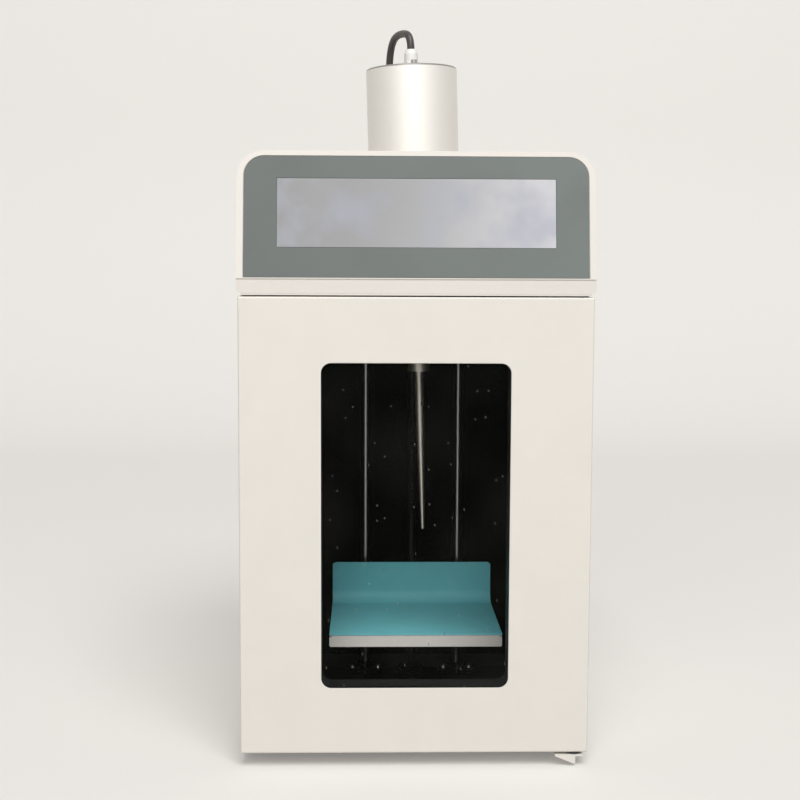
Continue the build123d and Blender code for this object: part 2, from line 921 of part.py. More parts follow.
# Two-part clamp coupling between screw and motor shaft, with the shaft in its upper half
with BuildPart() as shaft_coupling:
    with BuildSketch(Plane.XY.offset(coupling_low)):
        with Locations(screw_place):
            Circle(coupling_radius)
    extrude(amount=coupling_length)
    drill(Plane.XY, [screw_place], screw_radius + fit_gap, coupling_low, coupling_low + coupling_length / 2)
    with BuildSketch(Plane.XY.offset(coupling_low + coupling_length / 2 - 0.5)):
        with Locations((screw_place[0], screw_place[1] - coupling_radius)):
            Rectangle(2 * coupling_radius, 1.2 * coupling_radius)
    extrude(amount=1.0, mode=Mode.SUBTRACT)
    with BuildSketch(Plane.XY.offset(coupling_high)):
        with Locations(screw_place):
            Circle(motor_shaft_radius)
    extrude(amount=deck_top + 6 - coupling_high)
save(shaft_coupling, "shaft_coupling")

# Stepper motor on the deck: end caps, laminated body, pilot boss and the shaft's bore
with BuildPart() as lift_motor:
    with BuildSketch(Plane.XY.offset(deck_top)):
        with Locations(screw_place):
            RectangleRounded(motor_size, motor_size, motor_corner)
    extrude(amount=motor_height)
    with BuildSketch(Plane.XY.offset(deck_top + motor_height * 0.25)):
        with Locations(screw_place):
            Rectangle(motor_size + 1, motor_size + 1)
            Rectangle(motor_size - 1.6, motor_size - 1.6, mode=Mode.SUBTRACT)
    extrude(amount=motor_height * 0.5, mode=Mode.SUBTRACT)
    drill(Plane.XY, [screw_place], motor_shaft_radius + running_gap, deck_top, deck_top + 7)
    drill(Plane.XY, motor_screw_places, screw_hole, deck_top, deck_top + 5)
save(lift_motor, "lift_motor")

mat_top = platform_level
plate_top = mat_top - mat_thickness
lip_low = plate_top - lip_drop
carriage_front = rod_y - carriage_reach
plate_rear = carriage_front - fit_gap
mat_rear = plate_rear - plate_thickness
platform_front = plate_rear - platform_depth
platform_left = lift_offset - platform_width / 2
platform_right = lift_offset + platform_width / 2
upstand_top = platform_level + platform_upstand


def bent_strip(near, top, rear, rise, radius, thickness):
    """Side outline of a strip that lies flat at its top level and bends up at its rear."""
    with BuildSketch(mode=Mode.PRIVATE) as outline:
        with BuildLine() as path:
            FilletPolyline((near, top), (rear, top), (rear, rise), radius=radius)
            offset(amount=thickness, side=Side.RIGHT)
        make_face()
    return outline.sketch


# Bent platform plate; its front lip is turned down between two relief notches
with BuildPart() as platform_plate:
    with BuildSketch(Plane.YZ.offset(platform_left)):
        add(
            bent_strip(
                platform_front, plate_top, mat_rear, upstand_top - plate_step, mat_bend, plate_thickness
            )
        )
        with Locations((platform_front + plate_thickness / 2, (lip_low + plate_top) / 2)):
            Rectangle(plate_thickness, plate_top - lip_low)
    extrude(amount=platform_width)
    fillet(platform_plate.edges().filter_by(Axis.Y).group_by(Axis.Z)[0], lip_corner)
    notch_right = platform_right - lip_relief
    for low, high in ((platform_left, platform_left + lip_relief), (notch_right, platform_right)):
        add(
            block(
                (low, platform_front, plate_top - lip_relief),
                (high, platform_front + plate_thickness, plate_top),
            ),
            mode=Mode.SUBTRACT,
        )
save(platform_plate, "platform_plate")

# Silicone mat over the whole plate, from just past the lip up the bent back
with BuildPart() as platform_mat:
    with BuildSketch(Plane.YZ.offset(platform_left)):
        add(
            bent_strip(
                platform_front - mat_overhang,
                mat_top,
                mat_rear - mat_thickness,
                upstand_top,
                mat_bend - mat_thickness,
                mat_thickness - fit_gap,
            )
        )
    extrude(amount=platform_width)
    fillet(platform_mat.edges().filter_by(Axis.Y).group_by(Axis.Z)[-1], mat_corner)
save(platform_mat, "platform_mat")

carriage_low = plate_top - plate_thickness
carriage_high = carriage_low + carriage_height
carriage_rear = rod_y + bearing_radius + carriage_margin

# Carriage behind the plate, bored for the two bearings and the nut
with BuildPart() as carriage_block:
    add(
        block(
            (lift_offset - carriage_width / 2, carriage_front, carriage_low),
            (lift_offset + carriage_width / 2, carriage_rear, carriage_high),
        )
    )
    chamfer(carriage_block.edges().filter_by(Axis.Z), 2.0)
    drill(Plane.XY, rod_places, bearing_radius + fit_gap, carriage_low, carriage_high)
    drill(Plane.XY, [screw_place], nut_radius + fit_gap, carriage_low, carriage_high)
    with BuildSketch(upright(carriage_front)):
        for x in (-rod_spacing / 4, rod_spacing / 4):
            with Locations((lift_offset + x, carriage_low + carriage_height / 2 + 2)):
                RectangleRounded(rod_spacing / 2 - 2 * bearing_radius - 10, carriage_height - 14, 3)
    extrude(amount=carriage_front - carriage_rear, mode=Mode.SUBTRACT)
save(carriage_block, "carriage_block")

bearing_low = carriage_low + (carriage_height - bearing_length) / 2

# Linear ball bearings, each with two retaining grooves
with BuildPart() as linear_bearings:
    for place in rod_places:
        with BuildSketch(Plane.XY.offset(bearing_low)):
            with Locations(place):
                Circle(bearing_radius)
        extrude(amount=bearing_length)
        for height in (bearing_low + 3, bearing_low + bearing_length - 4):
            with BuildSketch(Plane.XY.offset(height)):
                with Locations(place):
                    Circle(bearing_radius + 1)
                    Circle(bearing_radius - 0.5, mode=Mode.SUBTRACT)
            extrude(amount=1.1, mode=Mode.SUBTRACT)
    drill(Plane.XY, rod_places, rod_radius + running_gap, bearing_low, bearing_low + bearing_length)
save(linear_bearings, "linear_bearings")

# Brass nut, flanged against the carriage's underside
with BuildPart() as lead_nut:
    with BuildSketch(Plane.XY.offset(carriage_low - nut_flange)):
        with Locations(screw_place):
            Circle(nut_flange_radius)
    extrude(amount=nut_flange)
    with BuildSketch(Plane.XY.offset(carriage_low)):
        with Locations(screw_place):
            Circle(nut_radius)
    extrude(amount=nut_length)
    drill(
        Plane.XY,
        [screw_place],
        screw_radius + running_gap,
        carriage_low - nut_flange,
        carriage_low + nut_length,
    )
save(lead_nut, "lead_nut")

# Ultrasonic converter

sleeve_low = sheet + seat_height - head_height
sleeve_inner = sleeve_radius - sleeve_wall
sleeve_floor_bore = horn_flange_radius - 8.0
sleeve_bore = sleeve_radius + guide_gap
seat_centre = (probe_offset + (head_height - sheet) * sin(lean), probe_y)
guide_ring_drop = 5.0
guide_ring_stand = 1.5
guide_ring_flange = 3.0
seat_ring_rise = 6.0


def turned(low, high, radius, bore=0.0):
    """A plain turned length on the leaning axis, bored right through if it has a bore."""
    with BuildPart(mode=Mode.PRIVATE) as piece:
        with BuildSketch(probe_plane.offset(low)):
            Circle(radius)
            if bore:
                Circle(bore, mode=Mode.SUBTRACT)
        extrude(amount=high - low)
    return piece.part


# Guide ring in the head's top and seat ring on the deck; both are bored to the sleeve's lean
with BuildPart() as sleeve_rings:
    add(turned(-sheet - guide_ring_drop, guide_ring_stand, sleeve_radius + ring_wall))
    with BuildSketch(Plane.XY.offset(head_top - sheet - fit_gap)):
        with Locations((probe_offset, probe_y)):
            Circle(sleeve_radius + 2 * ring_wall)
    extrude(amount=-guide_ring_flange)
    with BuildSketch(Plane.XY.offset(deck_top)):
        with Locations(seat_centre):
            Circle(sleeve_radius + ring_wall)
    extrude(amount=seat_height + seat_ring_rise)
    add(turned(sleeve_low, 10, sleeve_bore), mode=Mode.SUBTRACT)
    add(turned(sleeve_low - 10, sleeve_low + 1, deck_hole_radius), mode=Mode.SUBTRACT)
save(sleeve_rings, "sleeve_rings")

cap_low = sleeve_stand - cap_thickness

# Brushed sleeve with a floor that carries the horn's flange
with BuildPart() as converter_sleeve:
    add(turned(sleeve_low, cap_low, sleeve_radius, sleeve_inner))
    add(turned(sleeve_low, sleeve_low + sleeve_floor, sleeve_radius - 1, sleeve_floor_bore))
    chamfer(converter_sleeve.edges().filter_by(GeomType.CIRCLE).sort_by(probe_axis)[-1], cap_edge)
save(converter_sleeve, "converter_sleeve")

# Cap let into the sleeve's top, with a hole for the gland and three for its screws
with BuildPart() as sleeve_cap:
    add(turned(cap_low, sleeve_stand, sleeve_radius - cap_step))
    chamfer(sleeve_cap.edges().filter_by(GeomType.CIRCLE).sort_by(probe_axis)[-1], cap_edge)
    add(turned(cap_low - cap_plug, cap_low, sleeve_inner - fit_gap))
    add(turned(cap_low - cap_plug, sleeve_stand, gland_thread_radius + fit_gap), mode=Mode.SUBTRACT)
    with BuildSketch(probe_plane.offset(sleeve_stand)):
        with PolarLocations(cap_screw_circle, cap_screw_count, start_angle=cap_screw_turn):
            Circle(cap_screw_radius + fit_gap)
    extrude(amount=-cap_thickness - cap_plug, mode=Mode.SUBTRACT)
save(sleeve_cap, "sleeve_cap")

# Cheese-head screws with a hexagon socket
with BuildPart() as cap_screws:
    with BuildSketch(probe_plane.offset(sleeve_stand)):
        with PolarLocations(cap_screw_circle, cap_screw_count, start_angle=cap_screw_turn):
            Circle(cap_screw_head_radius)
    extrude(amount=cap_screw_head)
    with BuildSketch(probe_plane.offset(sleeve_stand + cap_screw_head)):
        with PolarLocations(cap_screw_circle, cap_screw_count, start_angle=cap_screw_turn):
            RegularPolygon(cap_screw_radius, 6)
    extrude(amount=-cap_screw_head / 2, mode=Mode.SUBTRACT)
    with BuildSketch(probe_plane.offset(sleeve_stand)):
        with PolarLocations(cap_screw_circle, cap_screw_count, start_angle=cap_screw_turn):
            Circle(cap_screw_radius)
    extrude(amount=-cap_thickness - cap_plug)
save(cap_screws, "cap_screws")

gland_top = sleeve_stand + gland_height

# Cable gland: hexagon nut, tapering clamp cap above it and thread through the sleeve's cap
with BuildPart() as cable_gland:
    with BuildSketch(probe_plane.offset(sleeve_stand)):
        RegularPolygon(gland_radius, 6, major_radius=False)
    extrude(amount=gland_nut)
    with BuildSketch(probe_plane.offset(sleeve_stand + gland_nut)):
        Circle(gland_radius - gland_shoulder)
    extrude(amount=gland_height - gland_nut - gland_taper)
    with BuildSketch(probe_plane.offset(gland_top - gland_taper)):
        Circle(gland_radius - gland_shoulder)
    extrude(amount=gland_taper, taper=18)
    add(turned(cap_low - cap_plug - gland_thread, sleeve_stand, gland_thread_radius))
save(cable_gland, "cable_gland")

flange_low = sleeve_low + sleeve_floor
flange_high = flange_low + horn_flange
stack_low = flange_high + front_mass_length
ring_step = ring_thickness + electrode_thickness
stack_high = stack_low + ring_count * ring_step + electrode_thickness
back_high = stack_high + back_mass_length
lug_length = 6.0
lug_width = 5.0
bolt_socket_radius = 4.5
bolt_socket_depth = 5.0
bolt_engagement = 18.0
bolt_hole_depth = 20.0

# Four piezoelectric rings
with BuildPart() as piezo_rings:
    for step in range(ring_count):
        low = stack_low + electrode_thickness + step * ring_step
        add(turned(low, low + ring_thickness, stack_radius, ring_bore))
save(piezo_rings, "piezo_rings")

# Copper electrodes between the rings, each with a solder lug
with BuildPart() as electrodes:
    for step in range(ring_count + 1):
        low = stack_low + step * ring_step
        add(turned(low, low + electrode_thickness, stack_radius, ring_bore))
        with BuildSketch(probe_plane.offset(low)):
            with Locations(((-1) ** step * (stack_radius + 2), 0)):
                Rectangle(lug_length, lug_width)
        extrude(amount=electrode_thickness)
save(electrodes, "electrodes")

# Steel back mass
with BuildPart() as back_mass:
    add(turned(stack_high, back_high, stack_radius, bolt_radius + fit_gap))
    chamfer(back_mass.edges().filter_by(GeomType.CIRCLE).sort_by(probe_axis)[-2:], 1.0)
save(back_mass, "back_mass")

# Stack bolt with a socket head, screwed into the front mass
with BuildPart() as stack_bolt:
    add(turned(back_high, back_high + bolt_head, bolt_head_radius))
    with BuildSketch(probe_plane.offset(back_high + bolt_head)):
        RegularPolygon(bolt_socket_radius, 6)
    extrude(amount=-bolt_socket_depth, mode=Mode.SUBTRACT)
    add(turned(stack_low - bolt_engagement, back_high, bolt_radius))
save(stack_bolt, "stack_bolt")

horn_neck_drop = horn_end_drop - horn_straight
neck_points = 5
neck_start = flange_low - 8.0
neck_ratio = horn_end_radius / horn_root_radius
neck_profile = [
    (
        horn_root_radius * neck_ratio ** (step / neck_points),
        neck_start + (-horn_neck_drop - neck_start) * step / neck_points,
    )
    for step in range(neck_points + 1)
]

# Horn: front mass, nodal flange and a neck that narrows exponentially to a straight end
with BuildPart() as horn:
    with BuildSketch(probe_section):
        with BuildLine():
            Polyline(
                neck_profile[0],
                (horn_root_radius, flange_low),
                (horn_flange_radius, flange_low),
                (horn_flange_radius, flange_high),
                (stack_radius, flange_high),
                (stack_radius, stack_low),
                (0, stack_low),
                (0, -horn_end_drop),
                (horn_end_radius, -horn_end_drop),
                neck_profile[-1],
            )
            Spline(*neck_profile)
        make_face()
    revolve(axis=probe_axis)
    add(turned(stack_low - bolt_hole_depth, stack_low, bolt_radius + fit_gap), mode=Mode.SUBTRACT)
    add(turned(-horn_end_drop, stud_length - horn_end_drop, stud_radius + fit_gap), mode=Mode.SUBTRACT)
save(horn, "horn")

cross_hole_turn = radians(42)
cross_direction = probe_section.x_dir * sin(cross_hole_turn) - Vector(0, 1, 0) * cos(cross_hole_turn)
cross_plane = Plane(
    origin=probe_plane.offset(-cross_hole_drop).origin - cross_direction * shank_radius * 2,
    x_dir=probe_plane.z_dir,
    z_dir=cross_direction,
)

# Probe: stud, round shank with a cross hole for a tommy bar, long taper to the tip
with BuildPart() as probe_tip:
    with BuildSketch(probe_section):
        with BuildLine():
            Polyline(
                (0, stud_length - 0.5 - horn_end_drop),
                (stud_radius, stud_length - 0.5 - horn_end_drop),
                (stud_radius, -horn_end_drop),
                (shank_radius, -horn_end_drop),
                (shank_radius, -taper_drop),
                (tip_radius, 0.3 - tip_drop),
                (tip_radius - 0.3, -tip_drop),
                (0, -tip_drop),
                close=True,
            )
        make_face()
    revolve(axis=probe_axis)
    with BuildSketch(cross_plane):
        Circle(cross_hole_radius)
    extrude(amount=4 * shank_radius, mode=Mode.SUBTRACT)
save(probe_tip, "probe_tip")

# Cable socket behind the converter, and the cable's plug

plug_low = head_top + socket_flange - plug_nose

# Round socket let into the head's top
with BuildPart() as cable_socket:
    with BuildSketch(Plane.XY.offset(head_top)):
        with Locations(socket_place):
            Circle(socket_flange_radius)
    extrude(amount=socket_flange)
    with BuildSketch(Plane.XY.offset(head_top)):
        with Locations(socket_place):
            Circle(socket_radius)
    extrude(amount=-socket_depth)
    drill(
        Plane.XY,
        [socket_place],
        plug_nose_radius + socket_gap,
        plug_low - 1,
        head_top + socket_flange,
    )
save(cable_socket, "cable_socket")

collar_low = head_top + socket_flange + 0.3
collar_high = collar_low + plug_length
plug_top = collar_high + plug_neck

# Round plug: nose, ribbed collar and tapering neck
with BuildPart() as cable_plug:
    with BuildSketch(Plane.XY.offset(plug_low)):
        with Locations(socket_place):
            Circle(plug_nose_radius)
    extrude(amount=collar_low - plug_low)
    with BuildSketch(Plane.XY.offset(collar_low)):
        with Locations(socket_place):
            Circle(plug_radius)
    extrude(amount=plug_length)
    with BuildSketch(Plane.XY.offset(collar_high)):
        with Locations(socket_place):
            Circle(plug_radius - 2)
    with BuildSketch(Plane.XY.offset(plug_top)):
        with Locations(socket_place):
            Circle(plug_neck_radius)
    loft()
save(cable_plug, "cable_plug")

# Route of the cable's middle, from the gland's top over the sleeve's edge down to the plug
cable_rise = 12.0
gland_exit = probe_plane.offset(gland_top).origin
first_corner = probe_plane.offset(gland_top + cable_rise).origin
cable_route = [
    (gland_exit.X, gland_exit.Y, gland_exit.Z),
    (first_corner.X, first_corner.Y, first_corner.Z),
    (-7.5, probe_y + 15.0, 610.3),
    (-15.2, probe_y + 35.0, 609.2),
    (-18.6, probe_y + 49.0, 596.0),
    (-18.8, probe_y + 53.0, 574.0),
    (plug_offset, probe_y + plug_reach, 549.0),
    (plug_offset, probe_y + plug_reach, plug_top),
]


def bend_radii(route):
    """Largest fair radius at each inner point: 0.45 of its shorter run over the half turn's tangent."""
    points = [Vector(*place) for place in route]
    radii = []
    for before, here, after in zip(points, points[1:], points[2:]):
        turn = radians((here - before).get_angle(after - here))
        shorter = min((here - before).length, (after - here).length)
        radii.append(0.45 * shorter / tan(turn / 2))
    return radii


cable_radii = bend_radii(cable_route)
print("cable bend radii, mm:", [round(radius, 1) for radius in cable_radii])

with BuildPart() as converter_cable:
    with BuildLine() as cable_path:
        FilletPolyline(*cable_route, radius=cable_radii)
    with BuildSketch(Plane(origin=cable_path.line @ 0, z_dir=cable_path.line % 0)):
        Circle(cable_diameter / 2)
    sweep(path=cable_path.line)
save(converter_cable, "converter_cable")
cable_length = cable_path.wire().length
tube_volume = pi * cable_diameter**2 / 4 * cable_length
print("cable length, mm:", round(cable_length, 1))
print("cable volume over section times length:", round(converter_cable.part.volume / tube_volume, 4))

# Rear cover, fan and mains inlet

fan_centre = (fan_offset, fan_level)
inlet_centre = (inlet_offset, inlet_level)
vent_offset = -inlet_offset - 30
vent_level = inlet_level + 60

# Rear cover over the whole back, cut for fan, inlet and air slots
with BuildPart() as rear_cover:
    with BuildSketch(upright(case_rear)):
        add(round_topped(cabinet_width, foot_height, head_top, head_corner))
        with Locations(fan_centre):
            Circle(fan_bore, mode=Mode.SUBTRACT)
        with Locations(inlet_centre):
            Rectangle(inlet_width + 2 * inlet_gap, inlet_height + 2 * inlet_gap, mode=Mode.SUBTRACT)
        with Locations((vent_offset, vent_level), (-vent_offset + 20, vent_level + 120)):
            with GridLocations(0, vent_pitch, 1, vent_count):
                SlotOverall(vent_length, vent_width, mode=Mode.SUBTRACT)
        with Locations(*cover_screw_places):
            Circle(screw_hole, mode=Mode.SUBTRACT)
    extrude(amount=-sheet)
save(rear_cover, "rear_cover")

fan_front = case_rear - fan_depth
hub_plate = 3.0
fan_pin_radius = 2.0

# Fan frame: square duct with corner flanges, four struts and a hub plate on its inner side
with BuildPart() as fan_frame:
    with BuildSketch(upright(fan_front)):
        with Locations(fan_centre):
            RectangleRounded(fan_size, fan_size, 4.0)
            Circle(fan_bore, mode=Mode.SUBTRACT)
    extrude(amount=-fan_depth + fit_gap)
    with BuildSketch(upright(fan_front + fan_wall + 1)):
        with Locations(fan_centre):
            Rectangle(fan_size + 10, fan_size + 10)
            Circle(fan_bore + fan_wall, mode=Mode.SUBTRACT)
    extrude(amount=2 * fan_wall + 2 - fan_depth, mode=Mode.SUBTRACT)
    with BuildSketch(upright(fan_front)):
        with Locations(fan_centre):
            Circle(hub_radius)
            Rectangle(2 * fan_bore + 1, strut_width)
            Rectangle(strut_width, 2 * fan_bore + 1)
    extrude(amount=-hub_plate)
    drill(upright(fan_front), [fan_centre], fan_pin_radius + running_gap, -hub_plate, 0)
save(fan_frame, "fan_frame")

rotor_front = fan_front + hub_plate + 0.5
rotor_rear = case_rear - 2.0
blade_root = 11.0
blade_chord = 20.0
blade_pitch = radians(38)
blade_twist = radians(12)
rotor_middle = (rotor_front + rotor_rear) / 2
rotor_centre = Vector(fan_offset, rotor_middle, fan_level)


def blade_plane(angle, radius, pitch):
    """Plane across a blade at a radius, with its x axis along the pitched chord."""
    outward = Vector(cos(angle), 0, sin(angle))
    along_axis = Vector(0, 1, 0)
    around = along_axis.cross(outward)
    return Plane(
        origin=rotor_centre + outward * radius,
        x_dir=around * cos(pitch) + along_axis * sin(pitch),
        z_dir=outward,
    )


# Fan rotor: hub cup with its pin and twisted blades
with BuildPart() as fan_rotor:
    with BuildSketch(upright(rotor_front)):
        with Locations(fan_centre):
            Circle(hub_radius)
    extrude(amount=rotor_front - rotor_rear)
    chamfer(fan_rotor.edges().sort_by(Axis.Y)[-1], 2.0)
    with BuildSketch(upright(fan_front + 0.5)):
        with Locations(fan_centre):
            Circle(fan_pin_radius)
    extrude(amount=-hub_plate)
    for blade in range(blade_count):
        angle = 2 * pi * blade / blade_count
        with BuildSketch(blade_plane(angle, hub_radius - 2, blade_pitch + blade_twist)):
            Rectangle(blade_chord * 0.8, blade_thickness)
        with BuildSketch(blade_plane(angle, fan_bore - blade_gap - 1, blade_pitch - blade_twist)):
            Rectangle(blade_chord, blade_thickness)
        loft()
save(fan_rotor, "fan_rotor")

guard_start = 6.0
guard_step = (fan_bore - guard_start) / guard_rings
guard_cross = 2.3 * fan_bore + 8.0

# Wire guard over the fan
with BuildPart() as fan_guard:
    with BuildSketch(upright(-front - guard_wire)):
        with Locations(fan_centre):
            for ring in range(1, guard_rings + 1):
                Circle(guard_start + ring * guard_step)
                Circle(guard_start + ring * guard_step - guard_wire, mode=Mode.SUBTRACT)
    extrude(amount=-guard_wire)
    with BuildSketch(upright(cover_rear)):
        with Locations(fan_centre):
            with Locations(Rotation(0, 0, 45)):
                Rectangle(guard_cross, guard_wire)
                Rectangle(guard_wire, guard_cross)
    extrude(amount=-guard_wire)
save(fan_guard, "fan_guard")

rocker_centre_z = inlet_level + inlet_height / 2 - rocker_height / 2 - 3
fuse_centre_z = rocker_centre_z - rocker_height / 2 - fuse_height / 2 - 3
socket_width = 22.0
socket_height = 16.0
socket_recess = 15.0
contact_sink = 5.0
socket_centre_z = inlet_level - inlet_height / 2 + socket_height / 2 + 3
flange_rear = cover_rear + inlet_flange
rocker_y = cover_rear - 4.0
rocker_circle = 7.5

# Mains inlet: flanged body with a three-pin recess, a fuse pocket and a rocker pocket
with BuildPart() as mains_inlet:
    with BuildSketch(upright(flange_rear)):
        with Locations(inlet_centre):
            RectangleRounded(inlet_width + 2 * inlet_margin + 4, inlet_height + 2 * inlet_margin, 3.0)
    extrude(amount=inlet_flange)
    with BuildSketch(upright(cover_rear)):
        with Locations(inlet_centre):
            Rectangle(inlet_width, inlet_height)
    extrude(amount=inlet_depth)
    with BuildSketch(upright(flange_rear)):
        with Locations((inlet_offset, socket_centre_z)):
            socket_mouth = Rectangle(socket_width, socket_height)
        chamfer(socket_mouth.vertices().group_by(Axis.Y)[-1], 4.0)
    extrude(amount=socket_recess, mode=Mode.SUBTRACT)
    with BuildSketch(upright(flange_rear)):
        with Locations((inlet_offset, fuse_centre_z)):
            Rectangle(fuse_width + 2 * inlet_gap, fuse_height + 2 * inlet_gap)
        with Locations((inlet_offset, rocker_centre_z)):
            Rectangle(rocker_width + 2 * inlet_gap, rocker_height)
    extrude(amount=fuse_depth + 1, mode=Mode.SUBTRACT)
    with BuildSketch(upright(flange_rear - contact_sink)):
        with Locations((inlet_offset, socket_centre_z + 2)):
            Rectangle(2, 5)
        with Locations((inlet_offset - 7, socket_centre_z - 2), (inlet_offset + 7, socket_centre_z - 2)):
            Rectangle(2, 5)
    extrude(amount=socket_recess - contact_sink)
save(mains_inlet, "mains_inlet")

# Rocker of the mains switch: round underside, shallow V on top, resting tipped to one side
with BuildPart() as power_rocker:
    with BuildSketch(Plane.YZ.offset(inlet_offset - rocker_width / 2)):
        with Locations((rocker_y, rocker_centre_z)):
            Circle(rocker_height / 2 - inlet_gap)
        with BuildLine():
            Polyline(
                (rocker_y - rocker_height, rocker_centre_z - rocker_height),
                (rocker_y - rocker_height, rocker_centre_z + rocker_height),
                (rocker_y + 4, rocker_centre_z + rocker_height),
                (rocker_y + 4, rocker_centre_z),
                (
                    rocker_y + 4 + rocker_height * tan(radians(2 * rocker_tilt)),
                    rocker_centre_z - rocker_height,
                ),
                close=True,
            )
        make_face(mode=Mode.INTERSECT)
    extrude(amount=rocker_width)
save(power_rocker, "power_rocker")

# Fuse drawer with a finger ridge
with BuildPart() as fuse_drawer:
    with BuildSketch(upright(flange_rear)):
        with Locations((inlet_offset, fuse_centre_z)):
            Rectangle(fuse_width, fuse_height)
    extrude(amount=fuse_depth)
    with BuildSketch(upright(flange_rear)):
        with Locations((inlet_offset, fuse_centre_z - fuse_height / 2 + 1)):
            Rectangle(fuse_width - 4, 1.5)
    extrude(amount=-1.2)
    with BuildSketch(upright(flange_rear - 5)):
        with Locations((inlet_offset, fuse_centre_z + 1)):
            Rectangle(fuse_width - 4, fuse_height)
    extrude(amount=fuse_depth - 8, mode=Mode.SUBTRACT)
save(fuse_drawer, "fuse_drawer")

# Generator

board_front_y = liner_back + standoff_length
board_back_y = board_front_y + board_thickness
generator_centre = (-10.0, generator_level)
hole_span = (generator_width - 12, generator_height - 12)

# Posts between the chamber's back wall and the board
with BuildPart() as board_standoffs:
    with BuildSketch(upright(liner_back)):
        with Locations(generator_centre):
            with GridLocations(*hole_span, 2, 2):
                RegularPolygon(standoff_radius, 6)
    extrude(amount=-standoff_length)
save(board_standoffs, "board_standoffs")

# Generator board with relays and terminal block
with BuildPart() as generator_board:
    with BuildSketch(upright(board_front_y)):
        with Locations(generator_centre):
            Rectangle(generator_width, generator_height)
            with GridLocations(*hole_span, 2, 2):
                Circle(1.6, mode=Mode.SUBTRACT)
    extrude(amount=-board_thickness)
    with BuildSketch(upright(board_back_y)):
        with Locations((generator_centre[0] - 60, coil_level), (generator_centre[0] - 60, coil_level + 24)):
            Rectangle(28, 16)
        with Locations((generator_centre[0], generator_level - generator_height / 2 + 12)):
            Rectangle(70, 10)
    extrude(amount=-14)
save(generator_board, "generator_board")

sink_centre = (generator_centre[0], sink_level)
fin_span = sink_width - fin_thickness

# Finned heat sink for the output stage
with BuildPart() as heat_sink:
    with BuildSketch(upright(board_back_y)):
        with Locations(sink_centre):
            Rectangle(sink_width, sink_height)
    extrude(amount=-sink_base)
    with BuildSketch(upright(board_back_y + sink_base)):
        with Locations(sink_centre):
            with GridLocations(fin_span / (fin_count - 1), 0, fin_count, 1):
                Rectangle(fin_thickness, sink_height)
    extrude(amount=sink_base - sink_depth)
save(heat_sink, "heat_sink")

# Toroidal output coil, lying against the board
with BuildPart() as output_coil:
    coil_plane = upright(board_back_y + coil_section + 0.2)
    with Locations(coil_plane):
        with Locations((coil_offset, coil_level)):
            Torus(coil_radius, coil_section)
save(output_coil, "output_coil")

capacitor_pitch = 2 * capacitor_radius + 4

# Smoothing capacitors standing on the board
with BuildPart() as capacitors:
    with BuildSketch(upright(board_back_y)):
        with Locations((generator_centre[0], capacitor_level)):
            with GridLocations(capacitor_pitch, 0, capacitor_count, 1):
                Circle(capacitor_radius)
    extrude(amount=-capacitor_length)
    fillet(capacitors.edges().group_by(Axis.Y)[-1], 1.5)
save(capacitors, "capacitors")

# Pan-head screws: rear cover, feet, rod supports and the lower hinge plate
with BuildPart() as cabinet_screws:
    for x, z in cover_screw_places:
        add(pan_screw(Plane(origin=(x, cover_rear, z), z_dir=(0, 1, 0)), 3 * sheet))
    for x, y in foot_places:
        add(pan_screw(Plane(origin=(x, y, foot_height / 2), z_dir=(0, 0, -1)), foot_height / 2 + 3 * sheet))
    for x, y in clamp_screw_places:
        add(pan_screw(Plane(origin=(x, y, floor_top + clamp_base), z_dir=(0, 0, 1)), clamp_base + sheet))
        add(pan_screw(Plane(origin=(x, y, lip_top - clamp_base), z_dir=(0, 0, -1)), clamp_base + sheet))
    for x, y in hinge_screw_places:
        add(pan_screw(Plane(origin=(x, y, lower_plate_low), z_dir=(0, 0, -1)), hinge_plate + 2 * sheet))
save(cabinet_screws, "cabinet_screws")
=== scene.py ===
import math
from itertools import product

import bmesh
import bpy
from bpy.props import FloatProperty, FloatVectorProperty, IntProperty, PointerProperty
from mathutils import Matrix, Vector


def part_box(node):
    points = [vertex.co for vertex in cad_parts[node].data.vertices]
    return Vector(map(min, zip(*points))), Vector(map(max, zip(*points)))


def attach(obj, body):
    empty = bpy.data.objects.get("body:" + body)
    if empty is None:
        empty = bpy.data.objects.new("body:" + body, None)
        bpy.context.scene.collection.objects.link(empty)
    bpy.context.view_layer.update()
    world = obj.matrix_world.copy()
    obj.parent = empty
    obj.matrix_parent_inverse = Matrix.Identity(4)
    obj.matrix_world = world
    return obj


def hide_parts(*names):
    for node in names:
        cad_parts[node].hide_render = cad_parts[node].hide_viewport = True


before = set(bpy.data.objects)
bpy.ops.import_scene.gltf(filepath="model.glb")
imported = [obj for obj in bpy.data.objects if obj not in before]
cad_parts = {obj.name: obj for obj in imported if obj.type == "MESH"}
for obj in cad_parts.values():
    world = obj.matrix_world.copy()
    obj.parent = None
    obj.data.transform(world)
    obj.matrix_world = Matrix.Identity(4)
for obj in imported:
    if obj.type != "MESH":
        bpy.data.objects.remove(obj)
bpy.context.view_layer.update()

bl_info = {
    "name": "Probe sonicator dressing",
    "version": (1, 0, 0),
    "blender": (4, 5, 0),
    "location": "View3D > Sidebar > Sonicator",
    "description": "Finishes, cable, screw thread, lights and camera for the probe sonicator",
    "category": "Object",
}

# One millimetre in the scene's metres
MM = 0.001


def linear(code):
    """Linear colour of an sRGB hex value such as E6E0D8."""
    channels = [int(code[i : i + 2], 16) / 255 for i in (0, 2, 4)]
    return tuple(c / 12.92 if c <= 0.04045 else ((c + 0.055) / 1.055) ** 2.4 for c in channels)


def colour(name, description, code):
    """A colour property whose default is an sRGB hex value."""
    return FloatVectorProperty(
        name=name, description=description, subtype="COLOR", size=3, min=0, max=1, default=linear(code)
    )


def length(name, description, default):
    """A length property in metres."""
    return FloatProperty(name=name, description=description, default=default, unit="LENGTH")


